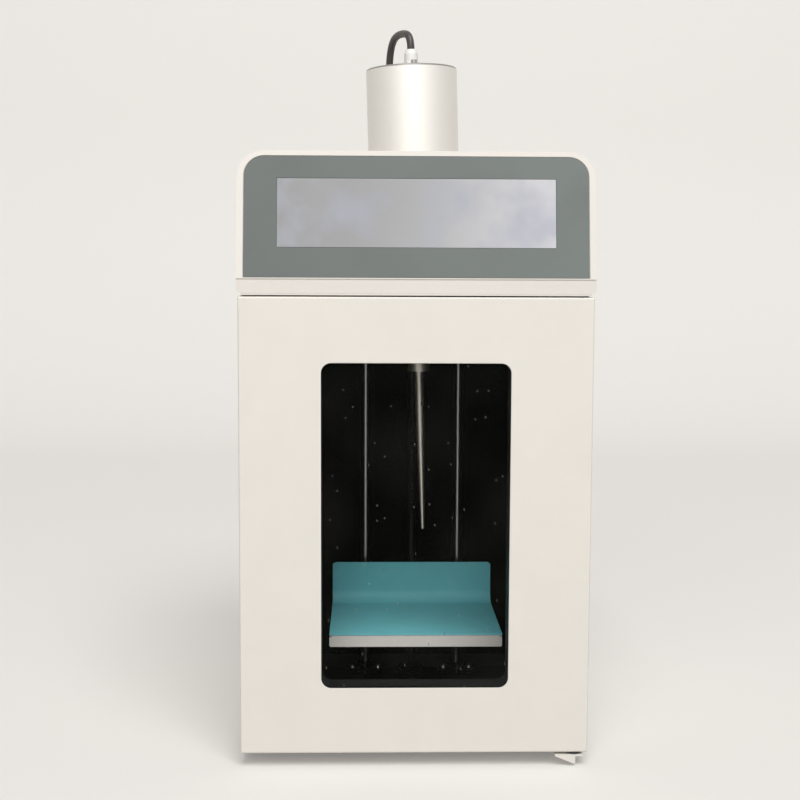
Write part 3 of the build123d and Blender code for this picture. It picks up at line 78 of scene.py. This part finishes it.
class SonicatorColours(bpy.types.PropertyGroup):
    """Colours of the surfaces seen most"""

    case: colour("Case paint", "Powder coat of case and door", "E6E1D9")
    hood: colour("Hood paint", "Satin paint of the moulded head", "E2DDD6")
    fascia: colour("Fascia film", "Printed film round the display", "6A716E")
    display: colour("Display", "Unlit display under its touch glass", "A2A2A4")
    mat: colour("Mat", "Silicone mat on the platform", "77CBD2")
    cable: colour("Cable jacket", "Jacket of the converter's cable", "3A3937")
    floor: colour("Floor", "Floor and backdrop", "ECE9E5")


class SonicatorSizes(bpy.types.PropertyGroup):
    """Sizes of the surface grain, the screw's thread and the cable"""

    grain: length("Powder grain", "Spacing of the powder coat's orange peel", 0.9 * MM)
    brush_line: length("Brush line", "Spacing of the brushed lines on metal", 0.35 * MM)
    foam_cell: length("Foam cell", "Width of the foam's open cells", 2.2 * MM)
    thread_depth: length("Thread depth", "Depth of the lead screw's thread", 0.9 * MM)
    thread_pitch: length("Thread pitch", "Spacing of neighbouring thread turns", 2.0 * MM)
    thread_starts: IntProperty(name="Thread starts", description="Parallel threads on the screw", default=4)
    cable_diameter: length("Cable diameter", "Outer diameter of the converter's cable", 6.5 * MM)


def colours():
    """The scene's colour properties."""
    return bpy.context.scene.sonicator_colours


def sizes():
    """The scene's size properties."""
    return bpy.context.scene.sonicator_sizes


# Materials


def add_node(tree, kind, settings=None, links=None):
    """Add a node; settings fill its sockets or attributes, links join its inputs to outputs."""
    node = tree.nodes.new(kind)
    for key, value in (settings or {}).items():
        if isinstance(key, int) or key in node.inputs:
            node.inputs[key].default_value = value
        else:
            setattr(node, key, value)
    for key, output in (links or {}).items():
        tree.links.new(output, node.inputs[key])
    return node


def new_material(name):
    """An empty material with its output node."""
    material = bpy.data.materials.new(name)
    material.use_nodes = True
    material.node_tree.nodes.clear()
    output = add_node(material.node_tree, "ShaderNodeOutputMaterial")
    return material, material.node_tree, output


def rgba(rgb, gain=1.0):
    """A colour made brighter or darker by a gain, with full alpha."""
    return (*(min(1.0, c * gain) for c in rgb), 1.0)


def object_noise(tree, spacing, detail, roughness=0.5):
    """Noise fixed to the object, with its lumps a spacing apart; returns its value."""
    place = add_node(tree, "ShaderNodeTexCoord")
    noise = add_node(
        tree,
        "ShaderNodeTexNoise",
        {"Scale": 1 / spacing, "Detail": detail, "Roughness": roughness},
        {"Vector": place.outputs["Object"]},
    )
    return noise.outputs["Fac"]


def across(tree, node):
    """Position along X over a CAD node's width, from nought at its left to one at its right."""
    low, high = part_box(node)
    place = add_node(tree, "ShaderNodeTexCoord")
    axes = add_node(tree, "ShaderNodeSeparateXYZ", links={"Vector": place.outputs["Object"]})
    share = add_node(
        tree, "ShaderNodeMapRange", {"From Min": low.x, "From Max": high.x}, {"Value": axes.outputs["X"]}
    )
    return share.outputs["Result"]


def ramp(tree, factor, low, high, start=0.0, stop=1.0):
    """A ramp from one colour to another as a factor goes from start to stop; returns the node."""
    node = add_node(tree, "ShaderNodeValToRGB", links={"Fac": factor})
    first, last = node.color_ramp.elements
    first.position = start
    first.color = low
    last.position = stop
    last.color = high
    return node


def fade(tree, factor, start, stop, low, high):
    """A value that goes from low to high as a factor goes from start to stop."""
    node = add_node(
        tree,
        "ShaderNodeMapRange",
        {"From Min": start, "From Max": stop, "To Min": low, "To Max": high},
        {"Value": factor},
    )
    return node.outputs["Result"]


def relief(tree, height, strength, distance):
    """The normal of a surface roughened by a height."""
    bump = add_node(
        tree, "ShaderNodeBump", {"Strength": strength, "Distance": distance}, {"Height": height}
    )
    return bump.outputs["Normal"]


def cover(tree, output, settings, links):
    """Give a material its surface."""
    shader = add_node(tree, "ShaderNodeBsdfPrincipled", settings, links)
    tree.links.new(shader.outputs["BSDF"], output.inputs["Surface"])


def speckled(tree, rgb, spacing, spread):
    """A colour that varies over the object by a spread."""
    noise = object_noise(tree, spacing, 3.0, 0.6)
    return ramp(tree, noise, rgba(rgb, 1 - spread), rgba(rgb, 1 + spread), 0.3, 0.7).outputs["Color"]


def powder_coat(name, rgb, roughness=0.42):
    """Powder-coated steel, baked: fine orange peel that breaks up the highlights."""
    material, tree, output = new_material(name)
    grain = sizes().grain
    tint = speckled(tree, rgb, 40 * grain, 0.012)
    normal = relief(tree, object_noise(tree, grain, 2.0), 0.1, 0.05 * MM)
    cover(tree, output, {"Roughness": roughness, "IOR": 1.5}, {"Base Color": tint, "Normal": normal})
    return material


def moulded(name, rgb, roughness=0.45, ior=1.46, spacing=0.5 * MM, depth=0.03 * MM):
    """Moulded plastic or rubber: spark-eroded tool texture, a little uneven in tone."""
    material, tree, output = new_material(name)
    tint = speckled(tree, rgb, 30 * spacing, 0.03)
    normal = relief(tree, object_noise(tree, spacing, 3.0), 0.2, depth)
    cover(tree, output, {"Roughness": roughness, "IOR": ior}, {"Base Color": tint, "Normal": normal})
    return material


# How far the lines on metal are stretched along X, Y and Z: even grain, and rings round Z
EVEN = (1, 1, 1)
RINGS = (40, 40, 1)
SHORT_RINGS = (30, 30, 1)


def brushed_metal(name, rgb, roughness, stretch, spacing=None, contrast=0.05):
    """Brushed or turned metal: fine lines, long along the axes where the stretch is large."""
    material, tree, output = new_material(name)
    spacing = spacing or sizes().brush_line
    place = add_node(tree, "ShaderNodeTexCoord")
    stretched = add_node(
        tree,
        "ShaderNodeMapping",
        {"Scale": tuple(1 / (spacing * factor) for factor in stretch)},
        {"Vector": place.outputs["Object"]},
    )
    lines = add_node(
        tree, "ShaderNodeTexNoise", {"Scale": 1.0, "Detail": 2.0}, {"Vector": stretched.outputs["Vector"]}
    )
    shade = ramp(tree, lines.outputs["Fac"], rgba(rgb, 1 - contrast), rgba(rgb, 1 + contrast), 0.3, 0.7)
    normal = relief(tree, lines.outputs["Fac"], 0.15, 0.02 * MM)
    cover(
        tree,
        output,
        {"Metallic": 1.0, "Roughness": roughness},
        {"Base Color": shade.outputs["Color"], "Normal": normal},
    )
    return material


def open_cell_foam():
    """Charcoal polyurethane foam, cut: open cells that swallow nearly all light, with painted shade darkening
    the hollow of each cell.
    """
    material, tree, output = new_material("open_cell_foam")
    place = add_node(tree, "ShaderNodeTexCoord")
    cells = add_node(
        tree,
        "ShaderNodeTexVoronoi",
        {"Scale": 1 / sizes().foam_cell},
        {"Vector": place.outputs["Object"]},
    )
    depth = cells.outputs["Distance"]
    # Painted shade: each cell is darker in its hollow, where the relief is lowest
    shade = ramp(tree, depth, rgba(linear("040404")), rgba(linear("080807")))
    cover(
        tree,
        output,
        {"Roughness": 0.95, "Specular IOR Level": 0.05},
        {"Base Color": shade.outputs["Color"], "Normal": relief(tree, depth, 0.25, 0.6 * MM)},
    )
    return material


def tinted_acrylic():
    """Cast acrylic with a smoke tint and a hard coat: nearly clear head-on, with a few dust specks."""
    material, tree, output = new_material("tinted_acrylic")
    speck_spacing = 26 * MM
    speck_size = 0.016
    speck_cover = 0.6
    place = add_node(tree, "ShaderNodeTexCoord")
    upright = add_node(
        tree,
        "ShaderNodeMapping",
        {"Rotation": (math.radians(-90), 0, 0)},
        {"Vector": place.outputs["Object"]},
    )
    dust = add_node(
        tree,
        "ShaderNodeTexVoronoi",
        {"voronoi_dimensions": "2D", "Scale": 1 / speck_spacing},
        {"Vector": upright.outputs["Vector"]},
    )
    speck = add_node(
        tree, "ShaderNodeMath", {"operation": "LESS_THAN", 1: speck_size}, {0: dust.outputs["Distance"]}
    )
    tint = add_node(
        tree,
        "ShaderNodeMix",
        {"data_type": "RGBA", 6: rgba(linear("7B7C75")), 7: rgba(linear("8E8E88"))},
        {0: speck.outputs["Value"]},
    )
    haze = fade(tree, object_noise(tree, 80 * MM, 1.0), 0.35, 0.7, 0.007, 0.02)
    alpha = add_node(
        tree,
        "ShaderNodeMapRange",
        {"To Max": speck_cover},
        {"Value": speck.outputs["Value"], "To Min": haze},
    )
    cover(
        tree,
        output,
        {"Roughness": 0.08, "IOR": 1.49, "Specular IOR Level": 0.08},
        {"Base Color": tint.outputs[2], "Alpha": alpha.outputs["Result"]},
    )
    return material


def printed_film(rgb):
    """Printed polyester film, satin, with painted shading that makes it a little lighter to the right, and
    faint broad darker patches.
    """
    material, tree, output = new_material("printed_polyester_film")
    # Painted shading: the film darkens towards the left and brightens towards the right, where the light
    # falls
    shade = ramp(tree, across(tree, "fascia_panel"), rgba(rgb, 0.82), rgba(rgb, 1.02))
    # Faint broad darker patches from large noise
    tint = add_node(
        tree,
        "ShaderNodeMix",
        {"data_type": "RGBA", 7: rgba(rgb, 0.72)},
        {
            0: fade(tree, object_noise(tree, 70 * MM, 3.0), 0.45, 0.7, 0.0, 0.5),
            6: shade.outputs["Color"],
        },
    )
    cover(tree, output, {"Roughness": 0.5, "IOR": 1.5}, {"Base Color": tint.outputs[2]})
    return material


def touch_glass():
    """Touch glass over an unlit display: pale grey, with painted reflections that make it brighter to the
    right and lay faint cool clouds over it.
    """
    material, tree, output = new_material("touch_glass")
    # Painted reflection: darker at the left, through the display's grey, to bright at the right
    shade = ramp(tree, across(tree, "touch_screen"), rgba(linear("838385")), rgba(linear("CCCBCF")))
    shade.color_ramp.elements.new(0.5).color = rgba(colours().display)
    # Painted reflection: faint cool clouds from large noise
    tint = add_node(
        tree,
        "ShaderNodeMix",
        {"data_type": "RGBA", 7: rgba(linear("A0A4B2"))},
        {
            0: fade(tree, object_noise(tree, 45 * MM, 3.0), 0.46, 0.7, 0.0, 0.65),
            6: shade.outputs["Color"],
        },
    )
    cover(
        tree,
        output,
        {"Roughness": 0.25, "IOR": 1.5, "Coat Weight": 0.4, "Coat Roughness": 0.1},
        {"Base Color": tint.outputs[2]},
    )
    return material


def finish(nodes, material):
    """Give CAD nodes a material."""
    for name in nodes:
        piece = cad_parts[name]
        piece.data.materials.clear()
        piece.data.materials.append(material)


# The six sides of a bar by the numbers of its corners, which run through Z, then Y, then X
BAR_SIDES = ((0, 1, 3, 2), (4, 6, 7, 5), (0, 4, 5, 1), (2, 3, 7, 6), (0, 2, 6, 4), (1, 5, 7, 3))


def bars(name, boxes, edge, material, body):
    """Make a piece of bars, each from its lowest to its highest corner, with rounded edges."""
    mesh = bmesh.new()
    for box in boxes:
        corners = [mesh.verts.new(corner) for corner in product(*zip(*box))]
        for side in BAR_SIDES:
            mesh.faces.new([corners[number] for number in side])
    bmesh.ops.bevel(mesh, geom=mesh.edges[:], offset=edge, segments=2, affect="EDGES", profile=0.5)
    bmesh.ops.recalc_face_normals(mesh, faces=mesh.faces[:])
    data = bpy.data.meshes.new(name)
    mesh.to_mesh(data)
    mesh.free()
    data.materials.append(material)
    piece = bpy.data.objects.new(name, data)
    bpy.context.scene.collection.objects.link(piece)
    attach(piece, body)


# Rear walls of the three floor slots, where the sheared edge of the tray shows, covered by pale strips:
# partly the bare edge, partly painted light for the white table seen through the slots
SLOT_WALLS = (7 * MM, 17 * MM, 27 * MM)
SLOT_LEFT = -6.6 * MM
SLOT_RIGHT = 14.6 * MM
SLOT_LOW = 10.05 * MM
SLOT_HIGH = 11.18 * MM
SLOT_EDGE = 0.08 * MM

# Strip turned down under the front of the hood
STRIP_HALF_WIDTH = 137.5 * MM
STRIP_SETBACK = 0.1 * MM
STRIP_DEPTH = 12 * MM
STRIP_DROP = 1.5 * MM


class SONICATOR_OT_cabinet(bpy.types.Operator):
    """Finish the case, the chamber lining, the feet and the hinge plates"""

    bl_idname = "sonicator.cabinet"
    bl_label = "Cabinet"

    def execute(self, context):
        finish(["case_wrap", "rear_cover", "hinge_plates"], powder_coat("powder_coated_case", colours().case))
        dark = powder_coat("powder_coated_chamber", linear("0B0B0A"), 0.5)
        finish(["front_frame", "chamber_liner", "base_pan"], dark)
        finish(["mid_deck"], brushed_metal("zinc_plated_sheet", linear("A5A8AA"), 0.4, EVEN, 4 * MM))
        finish(["acoustic_foam"], open_cell_foam())
        finish(["feet"], moulded("moulded_rubber_feet", linear("1B1B1B"), 0.7))
        steel = brushed_metal("zinc_plated_screws", linear("B9BBBC"), 0.3, EVEN, 1 * MM)
        finish(["cabinet_screws", "hinge_pins"], steel)
        finish(["catch_magnets"], moulded("magnet_housings", linear("1A1A1A"), 0.5))
        # Pale strips: partly the bare sheared edge, partly painted light standing in for the white table seen
        # through the slots
        bare_edge_and_light = moulded("bare_edge_and_painted_light", linear("EDE8DA"), 0.8, 1.5, 1 * MM)
        edges = [
            ((SLOT_LEFT, wall - SLOT_EDGE, SLOT_LOW), (SLOT_RIGHT, wall, SLOT_HIGH)) for wall in SLOT_WALLS
        ]
        bars("slot_edges", edges, 0.02 * MM, bare_edge_and_light, "cabinet")
        return {"FINISHED"}


class SONICATOR_OT_head(bpy.types.Operator):
    """Finish the hood, the fascia, the display and the boards behind it"""

    bl_idname = "sonicator.head"
    bl_label = "Head"

    def execute(self, context):
        finish(["head_hood"], powder_coat("satin_painted_hood", colours().hood, 0.38))
        finish(["fascia_panel"], printed_film(colours().fascia))
        finish(["touch_screen"], touch_glass())
        finish(["display_module"], brushed_metal("display_tray", linear("9FA2A4"), 0.4, EVEN, 4 * MM))
        finish(["display_board"], moulded("solder_masked_display_board", linear("1C5A35"), 0.4))
        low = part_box("head_hood")[0]
        strip = (
            (-STRIP_HALF_WIDTH, low.y + STRIP_SETBACK, low.z - STRIP_DROP),
            (STRIP_HALF_WIDTH, low.y + STRIP_DEPTH, low.z),
        )
        paint = powder_coat("satin_painted_strip", colours().hood, 0.38)
        bars("hood_strip", [strip], 0.2 * MM, paint, "cabinet")
        return {"FINISHED"}


class SONICATOR_OT_door(bpy.types.Operator):
    """Finish the door, its window, its seal and its fittings"""

    bl_idname = "sonicator.door"
    bl_label = "Door"

    def execute(self, context):
        finish(["door_skin"], powder_coat("powder_coated_door", colours().case))
        finish(["door_inner_panel"], powder_coat("powder_coated_door_back", linear("0E0E0D"), 0.5))
        finish(["window_pane"], tinted_acrylic())
        finish(["window_surround"], moulded("moulded_window_surround", linear("080808"), 0.6))
        finish(["door_seal"], moulded("foam_rubber_seal", linear("141414"), 0.85))
        finish(["pivot_bushes"], moulded("acetal_bushes", linear("222222"), 0.4))
        finish(["strike_plates"], brushed_metal("strike_steel", linear("B4B6B8"), 0.35, EVEN, 2 * MM))
        return {"FINISHED"}


class SONICATOR_OT_lift(bpy.types.Operator):
    """Finish the platform, its mat, the rods and the carriage"""

    bl_idname = "sonicator.lift"
    bl_label = "Lift"

    def execute(self, context):
        chrome = brushed_metal("ground_hard_chrome", linear("8C8C8B"), 0.28, (1, 1, 60))
        finish(["guide_rods"], chrome)
        finish(["linear_bearings"], brushed_metal("bearing_steel", linear("BDBDBD"), 0.2, SHORT_RINGS))
        satin = brushed_metal("satin_machined_aluminium", linear("CFCDC8"), 0.4, (40, 1, 1))
        finish(["shaft_coupling"], satin)
        black = brushed_metal("black_anodised_aluminium", linear("161616"), 0.4, EVEN, 0.8 * MM)
        finish(["rod_clamps", "screw_bearing", "carriage_block"], black)
        finish(["platform_plate"], powder_coat("white_powder_coated_plate", linear("E4E0D9"), 0.4))
        finish(["platform_mat"], moulded("silicone_mat", colours().mat, 0.55, 1.41, 0.7 * MM, 0.04 * MM))
        finish(["lead_nut"], brushed_metal("turned_brass", linear("C9A24B"), 0.3, SHORT_RINGS))
        finish(["lift_motor"], moulded("black_motor_body", linear("202020"), 0.5))
        return {"FINISHED"}


class SONICATOR_OT_lead_screw(bpy.types.Operator):
    """Cut the multi-start thread of the lead screw"""

    bl_idname = "sonicator.lead_screw"
    bl_label = "Lead screw"

    def execute(self, context):
        low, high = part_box("lead_screw")
        centre = (low + high) / 2
        radius = (high.x - low.x) / 2
        pitch = sizes().thread_pitch
        starts = sizes().thread_starts
        depth = sizes().thread_depth
        # The turned journal at the foot, and half the crest and each flank as shares of the pitch
        journal = 8 * MM
        journal_share = 0.75
        crest_share = 0.12
        flank_share = 0.16
        rings_per_pitch = 5
        segments = 24
        steps = int((high.z - low.z) / (pitch / rings_per_pitch))
        mesh = bmesh.new()
        rings = []
        for step in range(steps + 1):
            z = low.z + (high.z - low.z) * step / steps
            ring = []
            for segment in range(segments):
                angle = 2 * math.pi * segment / segments
                phase = (z / pitch - starts * angle / (2 * math.pi)) % 1
                flank = min(1, max(0, (abs(phase - 0.5) - crest_share) / flank_share))
                reach = radius - depth * flank
                if z < low.z + journal:
                    reach = radius * journal_share
                x = centre.x + reach * math.cos(angle)
                y = centre.y + reach * math.sin(angle)
                ring.append(mesh.verts.new((x, y, z)))
            rings.append(ring)
        for lower, upper in zip(rings, rings[1:]):
            for segment in range(segments):
                following = (segment + 1) % segments
                mesh.faces.new((lower[segment], lower[following], upper[following], upper[segment]))
        mesh.faces.new(list(reversed(rings[0])))
        mesh.faces.new(rings[-1])
        data = bpy.data.meshes.new("threaded_screw")
        mesh.to_mesh(data)
        mesh.free()
        piece = bpy.data.objects.new("threaded_screw", data)
        context.scene.collection.objects.link(piece)
        blackened = brushed_metal("blackened_screw_steel", linear("454442"), 0.4, (20, 20, 1))
        data.materials.append(blackened)
        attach(piece, "screw")
        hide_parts("lead_screw")
        return {"FINISHED"}


class SONICATOR_OT_converter(bpy.types.Operator):
    """Finish the converter, its stack, the horn and the probe"""

    bl_idname = "sonicator.converter"
    bl_label = "Converter"

    def execute(self, context):
        blasted = brushed_metal(
            "bead_blasted_anodised_aluminium", linear("E2DFDA"), 0.62, EVEN, 0.8 * MM, 0.02
        )
        finish(["converter_sleeve"], blasted)
        # Painted shade: the cap is darker than the sleeve, so its thin rim reads as the shadow line between
        # cap and sleeve
        finish(["sleeve_cap"], brushed_metal("turned_cap_with_painted_shade", linear("A5A29D"), 0.35, RINGS))
        screws = brushed_metal("stainless_cap_screws", linear("A8A7A4"), 0.3, EVEN, 1 * MM)
        finish(["cap_screws"], screws)
        finish(["cable_gland", "sleeve_rings"], moulded("natural_nylon", linear("EDECE8"), 0.4, 1.53))
        finish(["back_mass", "stack_bolt"], brushed_metal("turned_steel", linear("A9A9A8"), 0.3, RINGS))
        finish(["piezo_rings"], moulded("silvered_ceramic", linear("C9C0A6"), 0.4))
        finish(["electrodes"], brushed_metal("beryllium_copper", linear("C98B5A"), 0.3, EVEN, 2 * MM))
        finish(["horn", "probe_tip"], brushed_metal("turned_titanium", linear("D2CCC2"), 0.5, RINGS))
        nickel = brushed_metal("nickel_plate", linear("C0BEB9"), 0.25, EVEN, 1 * MM)
        finish(["cable_plug", "cable_socket"], nickel)
        return {"FINISHED"}


# The cable's route, from the gland's top over the sleeve's edge down to the plug
CABLE_ROUTE = [
    (-0.71, -5.0, 593.36),
    (-1.06, -5.0, 605.35),
    (-7.5, 10.0, 610.3),
    (-15.2, 30.0, 609.2),
    (-18.6, 44.0, 596.0),
    (-18.8, 48.0, 574.0),
    (-16.5, 48.0, 549.0),
    (-16.5, 48.0, 523.3),
]


class SONICATOR_OT_cable(bpy.types.Operator):
    """Lay the converter's cable from its gland to its plug"""

    bl_idname = "sonicator.cable"
    bl_label = "Cable"

    def execute(self, context):
        curve = bpy.data.curves.new("converter_lead", "CURVE")
        curve.dimensions = "3D"
        spline = curve.splines.new("NURBS")
        spline.points.add(len(CABLE_ROUTE) - 1)
        for point, place in zip(spline.points, CABLE_ROUTE):
            point.co = (*(value * MM for value in place), 1.0)
        spline.order_u = 3
        spline.use_endpoint_u = True
        spline.resolution_u = 16
        curve.bevel_depth = sizes().cable_diameter / 2
        curve.bevel_resolution = 8
        curve.use_fill_caps = True
        piece = bpy.data.objects.new("converter_lead", curve)
        context.scene.collection.objects.link(piece)
        jacket = moulded("extruded_rubber_jacket", colours().cable, 0.4, 1.5, 0.4 * MM, 0.02 * MM)
        curve.materials.append(jacket)
        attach(piece, "converter")
        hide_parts("converter_cable")
        return {"FINISHED"}


class SONICATOR_OT_rear(bpy.types.Operator):
    """Finish the fan, its guard, the mains inlet and the generator"""

    bl_idname = "sonicator.rear"
    bl_label = "Rear and generator"

    def execute(self, context):
        black = moulded("glass_filled_nylon", linear("161616"), 0.5)
        finish(["fan_frame", "fan_rotor", "mains_inlet", "fuse_drawer"], black)
        finish(["power_rocker"], moulded("polished_rocker", linear("0E0E0E"), 0.2))
        finish(["fan_guard"], brushed_metal("chromed_wire", linear("CFCFCF"), 0.15, EVEN, 1 * MM))
        finish(["generator_board"], moulded("solder_masked_generator_board", linear("1C5A35"), 0.4))
        finish(["board_standoffs"], brushed_metal("brass_standoffs", linear("C9A24B"), 0.35, EVEN, 1 * MM))
        finish(["heat_sink"], brushed_metal("extruded_aluminium", linear("B9B9B7"), 0.4, (1, 1, 40)))
        finish(["output_coil"], brushed_metal("enamelled_copper", linear("A8552B"), 0.35, EVEN, 1 * MM))
        finish(["capacitors"], moulded("shrunk_capacitor_sleeve", linear("1A2748"), 0.3))
        return {"FINISHED"}


# Camera, fitted to the photograph: place in millimetres, angles in degrees
CAMERA_PLACE = (-38.48, -1219.49, 398.26)
CAMERA_PITCH = 5.398
CAMERA_YAW = 1.389
CAMERA_ROLL = -0.234
FOCAL_PIXELS = 1352.89
FRAME_PIXELS = 800


def camera_matrix():
    """The camera's placement from its pitch below the horizon, its turn to the right and its roll."""
    pitch, yaw, roll = (math.radians(a) for a in (CAMERA_PITCH, CAMERA_YAW, CAMERA_ROLL))
    ahead = Vector((math.sin(yaw) * math.cos(pitch), math.cos(yaw) * math.cos(pitch), -math.sin(pitch)))
    right = Vector((math.cos(yaw), -math.sin(yaw), 0))
    down = ahead.cross(right)
    rolled_right = right * math.cos(roll) + down * math.sin(roll)
    rolled_down = down * math.cos(roll) - right * math.sin(roll)
    turn = Matrix((rolled_right, -rolled_down, -ahead)).transposed()
    return Matrix.Translation(Vector(CAMERA_PLACE) * MM) @ turn.to_4x4()


def add_camera(scene):
    """The camera at the photograph's viewpoint."""
    camera = bpy.data.cameras.new("camera")
    camera.sensor_width = 36.0
    camera.lens = camera.sensor_width * FOCAL_PIXELS / FRAME_PIXELS
    camera.clip_end = 20.0
    holder = bpy.data.objects.new("camera", camera)
    holder.matrix_world = camera_matrix()
    scene.collection.objects.link(holder)
    scene.camera = holder


# Lamps: name, place and aim in metres, side in metres, power in watts
LAMPS = (
    ("key", (0.6, -3.3, 4.9), (0, 0, 0.2), 3.4, 266),
    ("fill", (-0.9, -3.1, 1.9), (0, 0, 0.2), 1.6, 19),
    ("low_front", (0.55, -3.3, 1.0), (0, 0, 0.3), 1.2, 4),
)


def add_lamp(scene, name, place, aim, size, energy):
    """A soft square lamp at a place, aimed at a point."""
    lamp = bpy.data.lights.new(name, "AREA")
    lamp.shape = "SQUARE"
    lamp.size = size
    lamp.energy = energy
    holder = bpy.data.objects.new(name, lamp)
    holder.location = place
    holder.rotation_euler = (Vector(aim) - Vector(place)).to_track_quat("-Z", "Y").to_euler()
    scene.collection.objects.link(holder)


def seen_rays(tree):
    """One for rays seen straight, in a reflection or through a clear pane, nought for the others."""
    path = add_node(tree, "ShaderNodeLightPath")
    mirrored = add_node(
        tree,
        "ShaderNodeMath",
        {"operation": "MAXIMUM"},
        {0: path.outputs["Is Camera Ray"], 1: path.outputs["Is Glossy Ray"]},
    )
    seen = add_node(
        tree,
        "ShaderNodeMath",
        {"operation": "MAXIMUM"},
        {0: mirrored.outputs["Value"], 1: path.outputs["Is Transmission Ray"]},
    )
    return seen.outputs["Value"]


def paper_backdrop():
    """Seamless paper: a part of its pale colour shows whatever the light, more so further back."""
    material, tree, output = new_material("seamless_paper")
    place = add_node(tree, "ShaderNodeTexCoord")
    axes = add_node(tree, "ShaderNodeSeparateXYZ", links={"Vector": place.outputs["Object"]})
    level = fade(tree, axes.outputs["Y"], -0.3, 2.5, 0.23, 0.395)
    strength = add_node(
        tree, "ShaderNodeMath", {"operation": "MULTIPLY"}, {0: seen_rays(tree), 1: level}
    )
    glow = add_node(
        tree, "ShaderNodeEmission", {"Color": rgba(colours().floor)}, {"Strength": strength.outputs["Value"]}
    )
    paper = add_node(tree, "ShaderNodeBsdfDiffuse", {"Color": rgba(linear("D2D0CC"))})
    both = add_node(
        tree, "ShaderNodeAddShader", {}, {0: glow.outputs["Emission"], 1: paper.outputs["BSDF"]}
    )
    tree.links.new(both.outputs["Shader"], output.inputs["Surface"])
    return material


# Paper sweep in metres, with the number of steps in its bend
PAPER_HALF_WIDTH = 4.0
PAPER_NEAR = -4.0
PAPER_BACK = 2.5
PAPER_BEND = 0.8
PAPER_TOP = 3.5
PAPER_STEPS = 12


def add_paper(scene):
    """The floor, bent up into the backdrop behind the object."""
    bend_start = PAPER_BACK - PAPER_BEND
    profile = [(PAPER_NEAR, 0.0), (bend_start, 0.0)]
    for step in range(1, PAPER_STEPS + 1):
        angle = math.pi / 2 * step / PAPER_STEPS
        profile.append((bend_start + PAPER_BEND * math.sin(angle), PAPER_BEND - PAPER_BEND * math.cos(angle)))
    profile.append((PAPER_BACK, PAPER_TOP))
    mesh = bmesh.new()
    rows = [[mesh.verts.new((x, y, z)) for x in (-PAPER_HALF_WIDTH, PAPER_HALF_WIDTH)] for y, z in profile]
    for near, far in zip(rows, rows[1:]):
        mesh.faces.new((near[0], near[1], far[1], far[0]))
    data = bpy.data.meshes.new("paper_sweep")
    mesh.to_mesh(data)
    mesh.free()
    data.shade_smooth()
    data.materials.append(paper_backdrop())
    sweep = bpy.data.objects.new("paper_sweep", data)
    scene.collection.objects.link(sweep)


def add_world(scene):
    """The pale room: dim as light, bright where it is seen."""
    world = bpy.data.worlds.new("studio")
    world.use_nodes = True
    tree = world.node_tree
    strength = add_node(
        tree, "ShaderNodeMapRange", {"To Min": 0.25, "To Max": 0.93}, {"Value": seen_rays(tree)}
    )
    background = tree.nodes["Background"]
    background.inputs["Color"].default_value = rgba(linear("F2F1EF"))
    tree.links.new(strength.outputs["Result"], background.inputs["Strength"])
    scene.world = world


class SONICATOR_OT_stage(bpy.types.Operator):
    """Set the camera, the lamps, the world and the pale floor"""

    bl_idname = "sonicator.stage"
    bl_label = "Stage"

    def execute(self, context):
        scene = context.scene
        add_camera(scene)
        add_paper(scene)
        for lamp in LAMPS:
            add_lamp(scene, *lamp)
        add_world(scene)
        scene.view_settings.view_transform = "Standard"
        return {"FINISHED"}


OPERATORS = [
    SONICATOR_OT_stage,
    SONICATOR_OT_cable,
    SONICATOR_OT_cabinet,
    SONICATOR_OT_head,
    SONICATOR_OT_door,
    SONICATOR_OT_lift,
    SONICATOR_OT_lead_screw,
    SONICATOR_OT_converter,
    SONICATOR_OT_rear,
]


class SONICATOR_PT_panel(bpy.types.Panel):
    """Lists the sonicator's sizes, colours and pieces"""

    bl_idname = "SONICATOR_PT_panel"
    bl_label = "Probe sonicator"
    bl_space_type = "VIEW_3D"
    bl_region_type = "UI"
    bl_category = "Sonicator"

    def draw(self, context):
        for group in (context.scene.sonicator_colours, context.scene.sonicator_sizes):
            box = self.layout.box()
            for key in group.__annotations__:
                box.prop(group, key)
        for operator in OPERATORS:
            self.layout.operator(operator.bl_idname)


CLASSES = [SonicatorColours, SonicatorSizes, *OPERATORS, SONICATOR_PT_panel]


def register():
    for item in CLASSES:
        bpy.utils.register_class(item)
    bpy.types.Scene.sonicator_colours = PointerProperty(type=SonicatorColours)
    bpy.types.Scene.sonicator_sizes = PointerProperty(type=SonicatorSizes)


def unregister():
    del bpy.types.Scene.sonicator_sizes
    del bpy.types.Scene.sonicator_colours
    for item in reversed(CLASSES):
        bpy.utils.unregister_class(item)


def main():
    register()
    for operator in OPERATORS:
        group, action = operator.bl_idname.split(".")
        getattr(getattr(bpy.ops, group), action)()


if __name__ == "__main__":
    main()
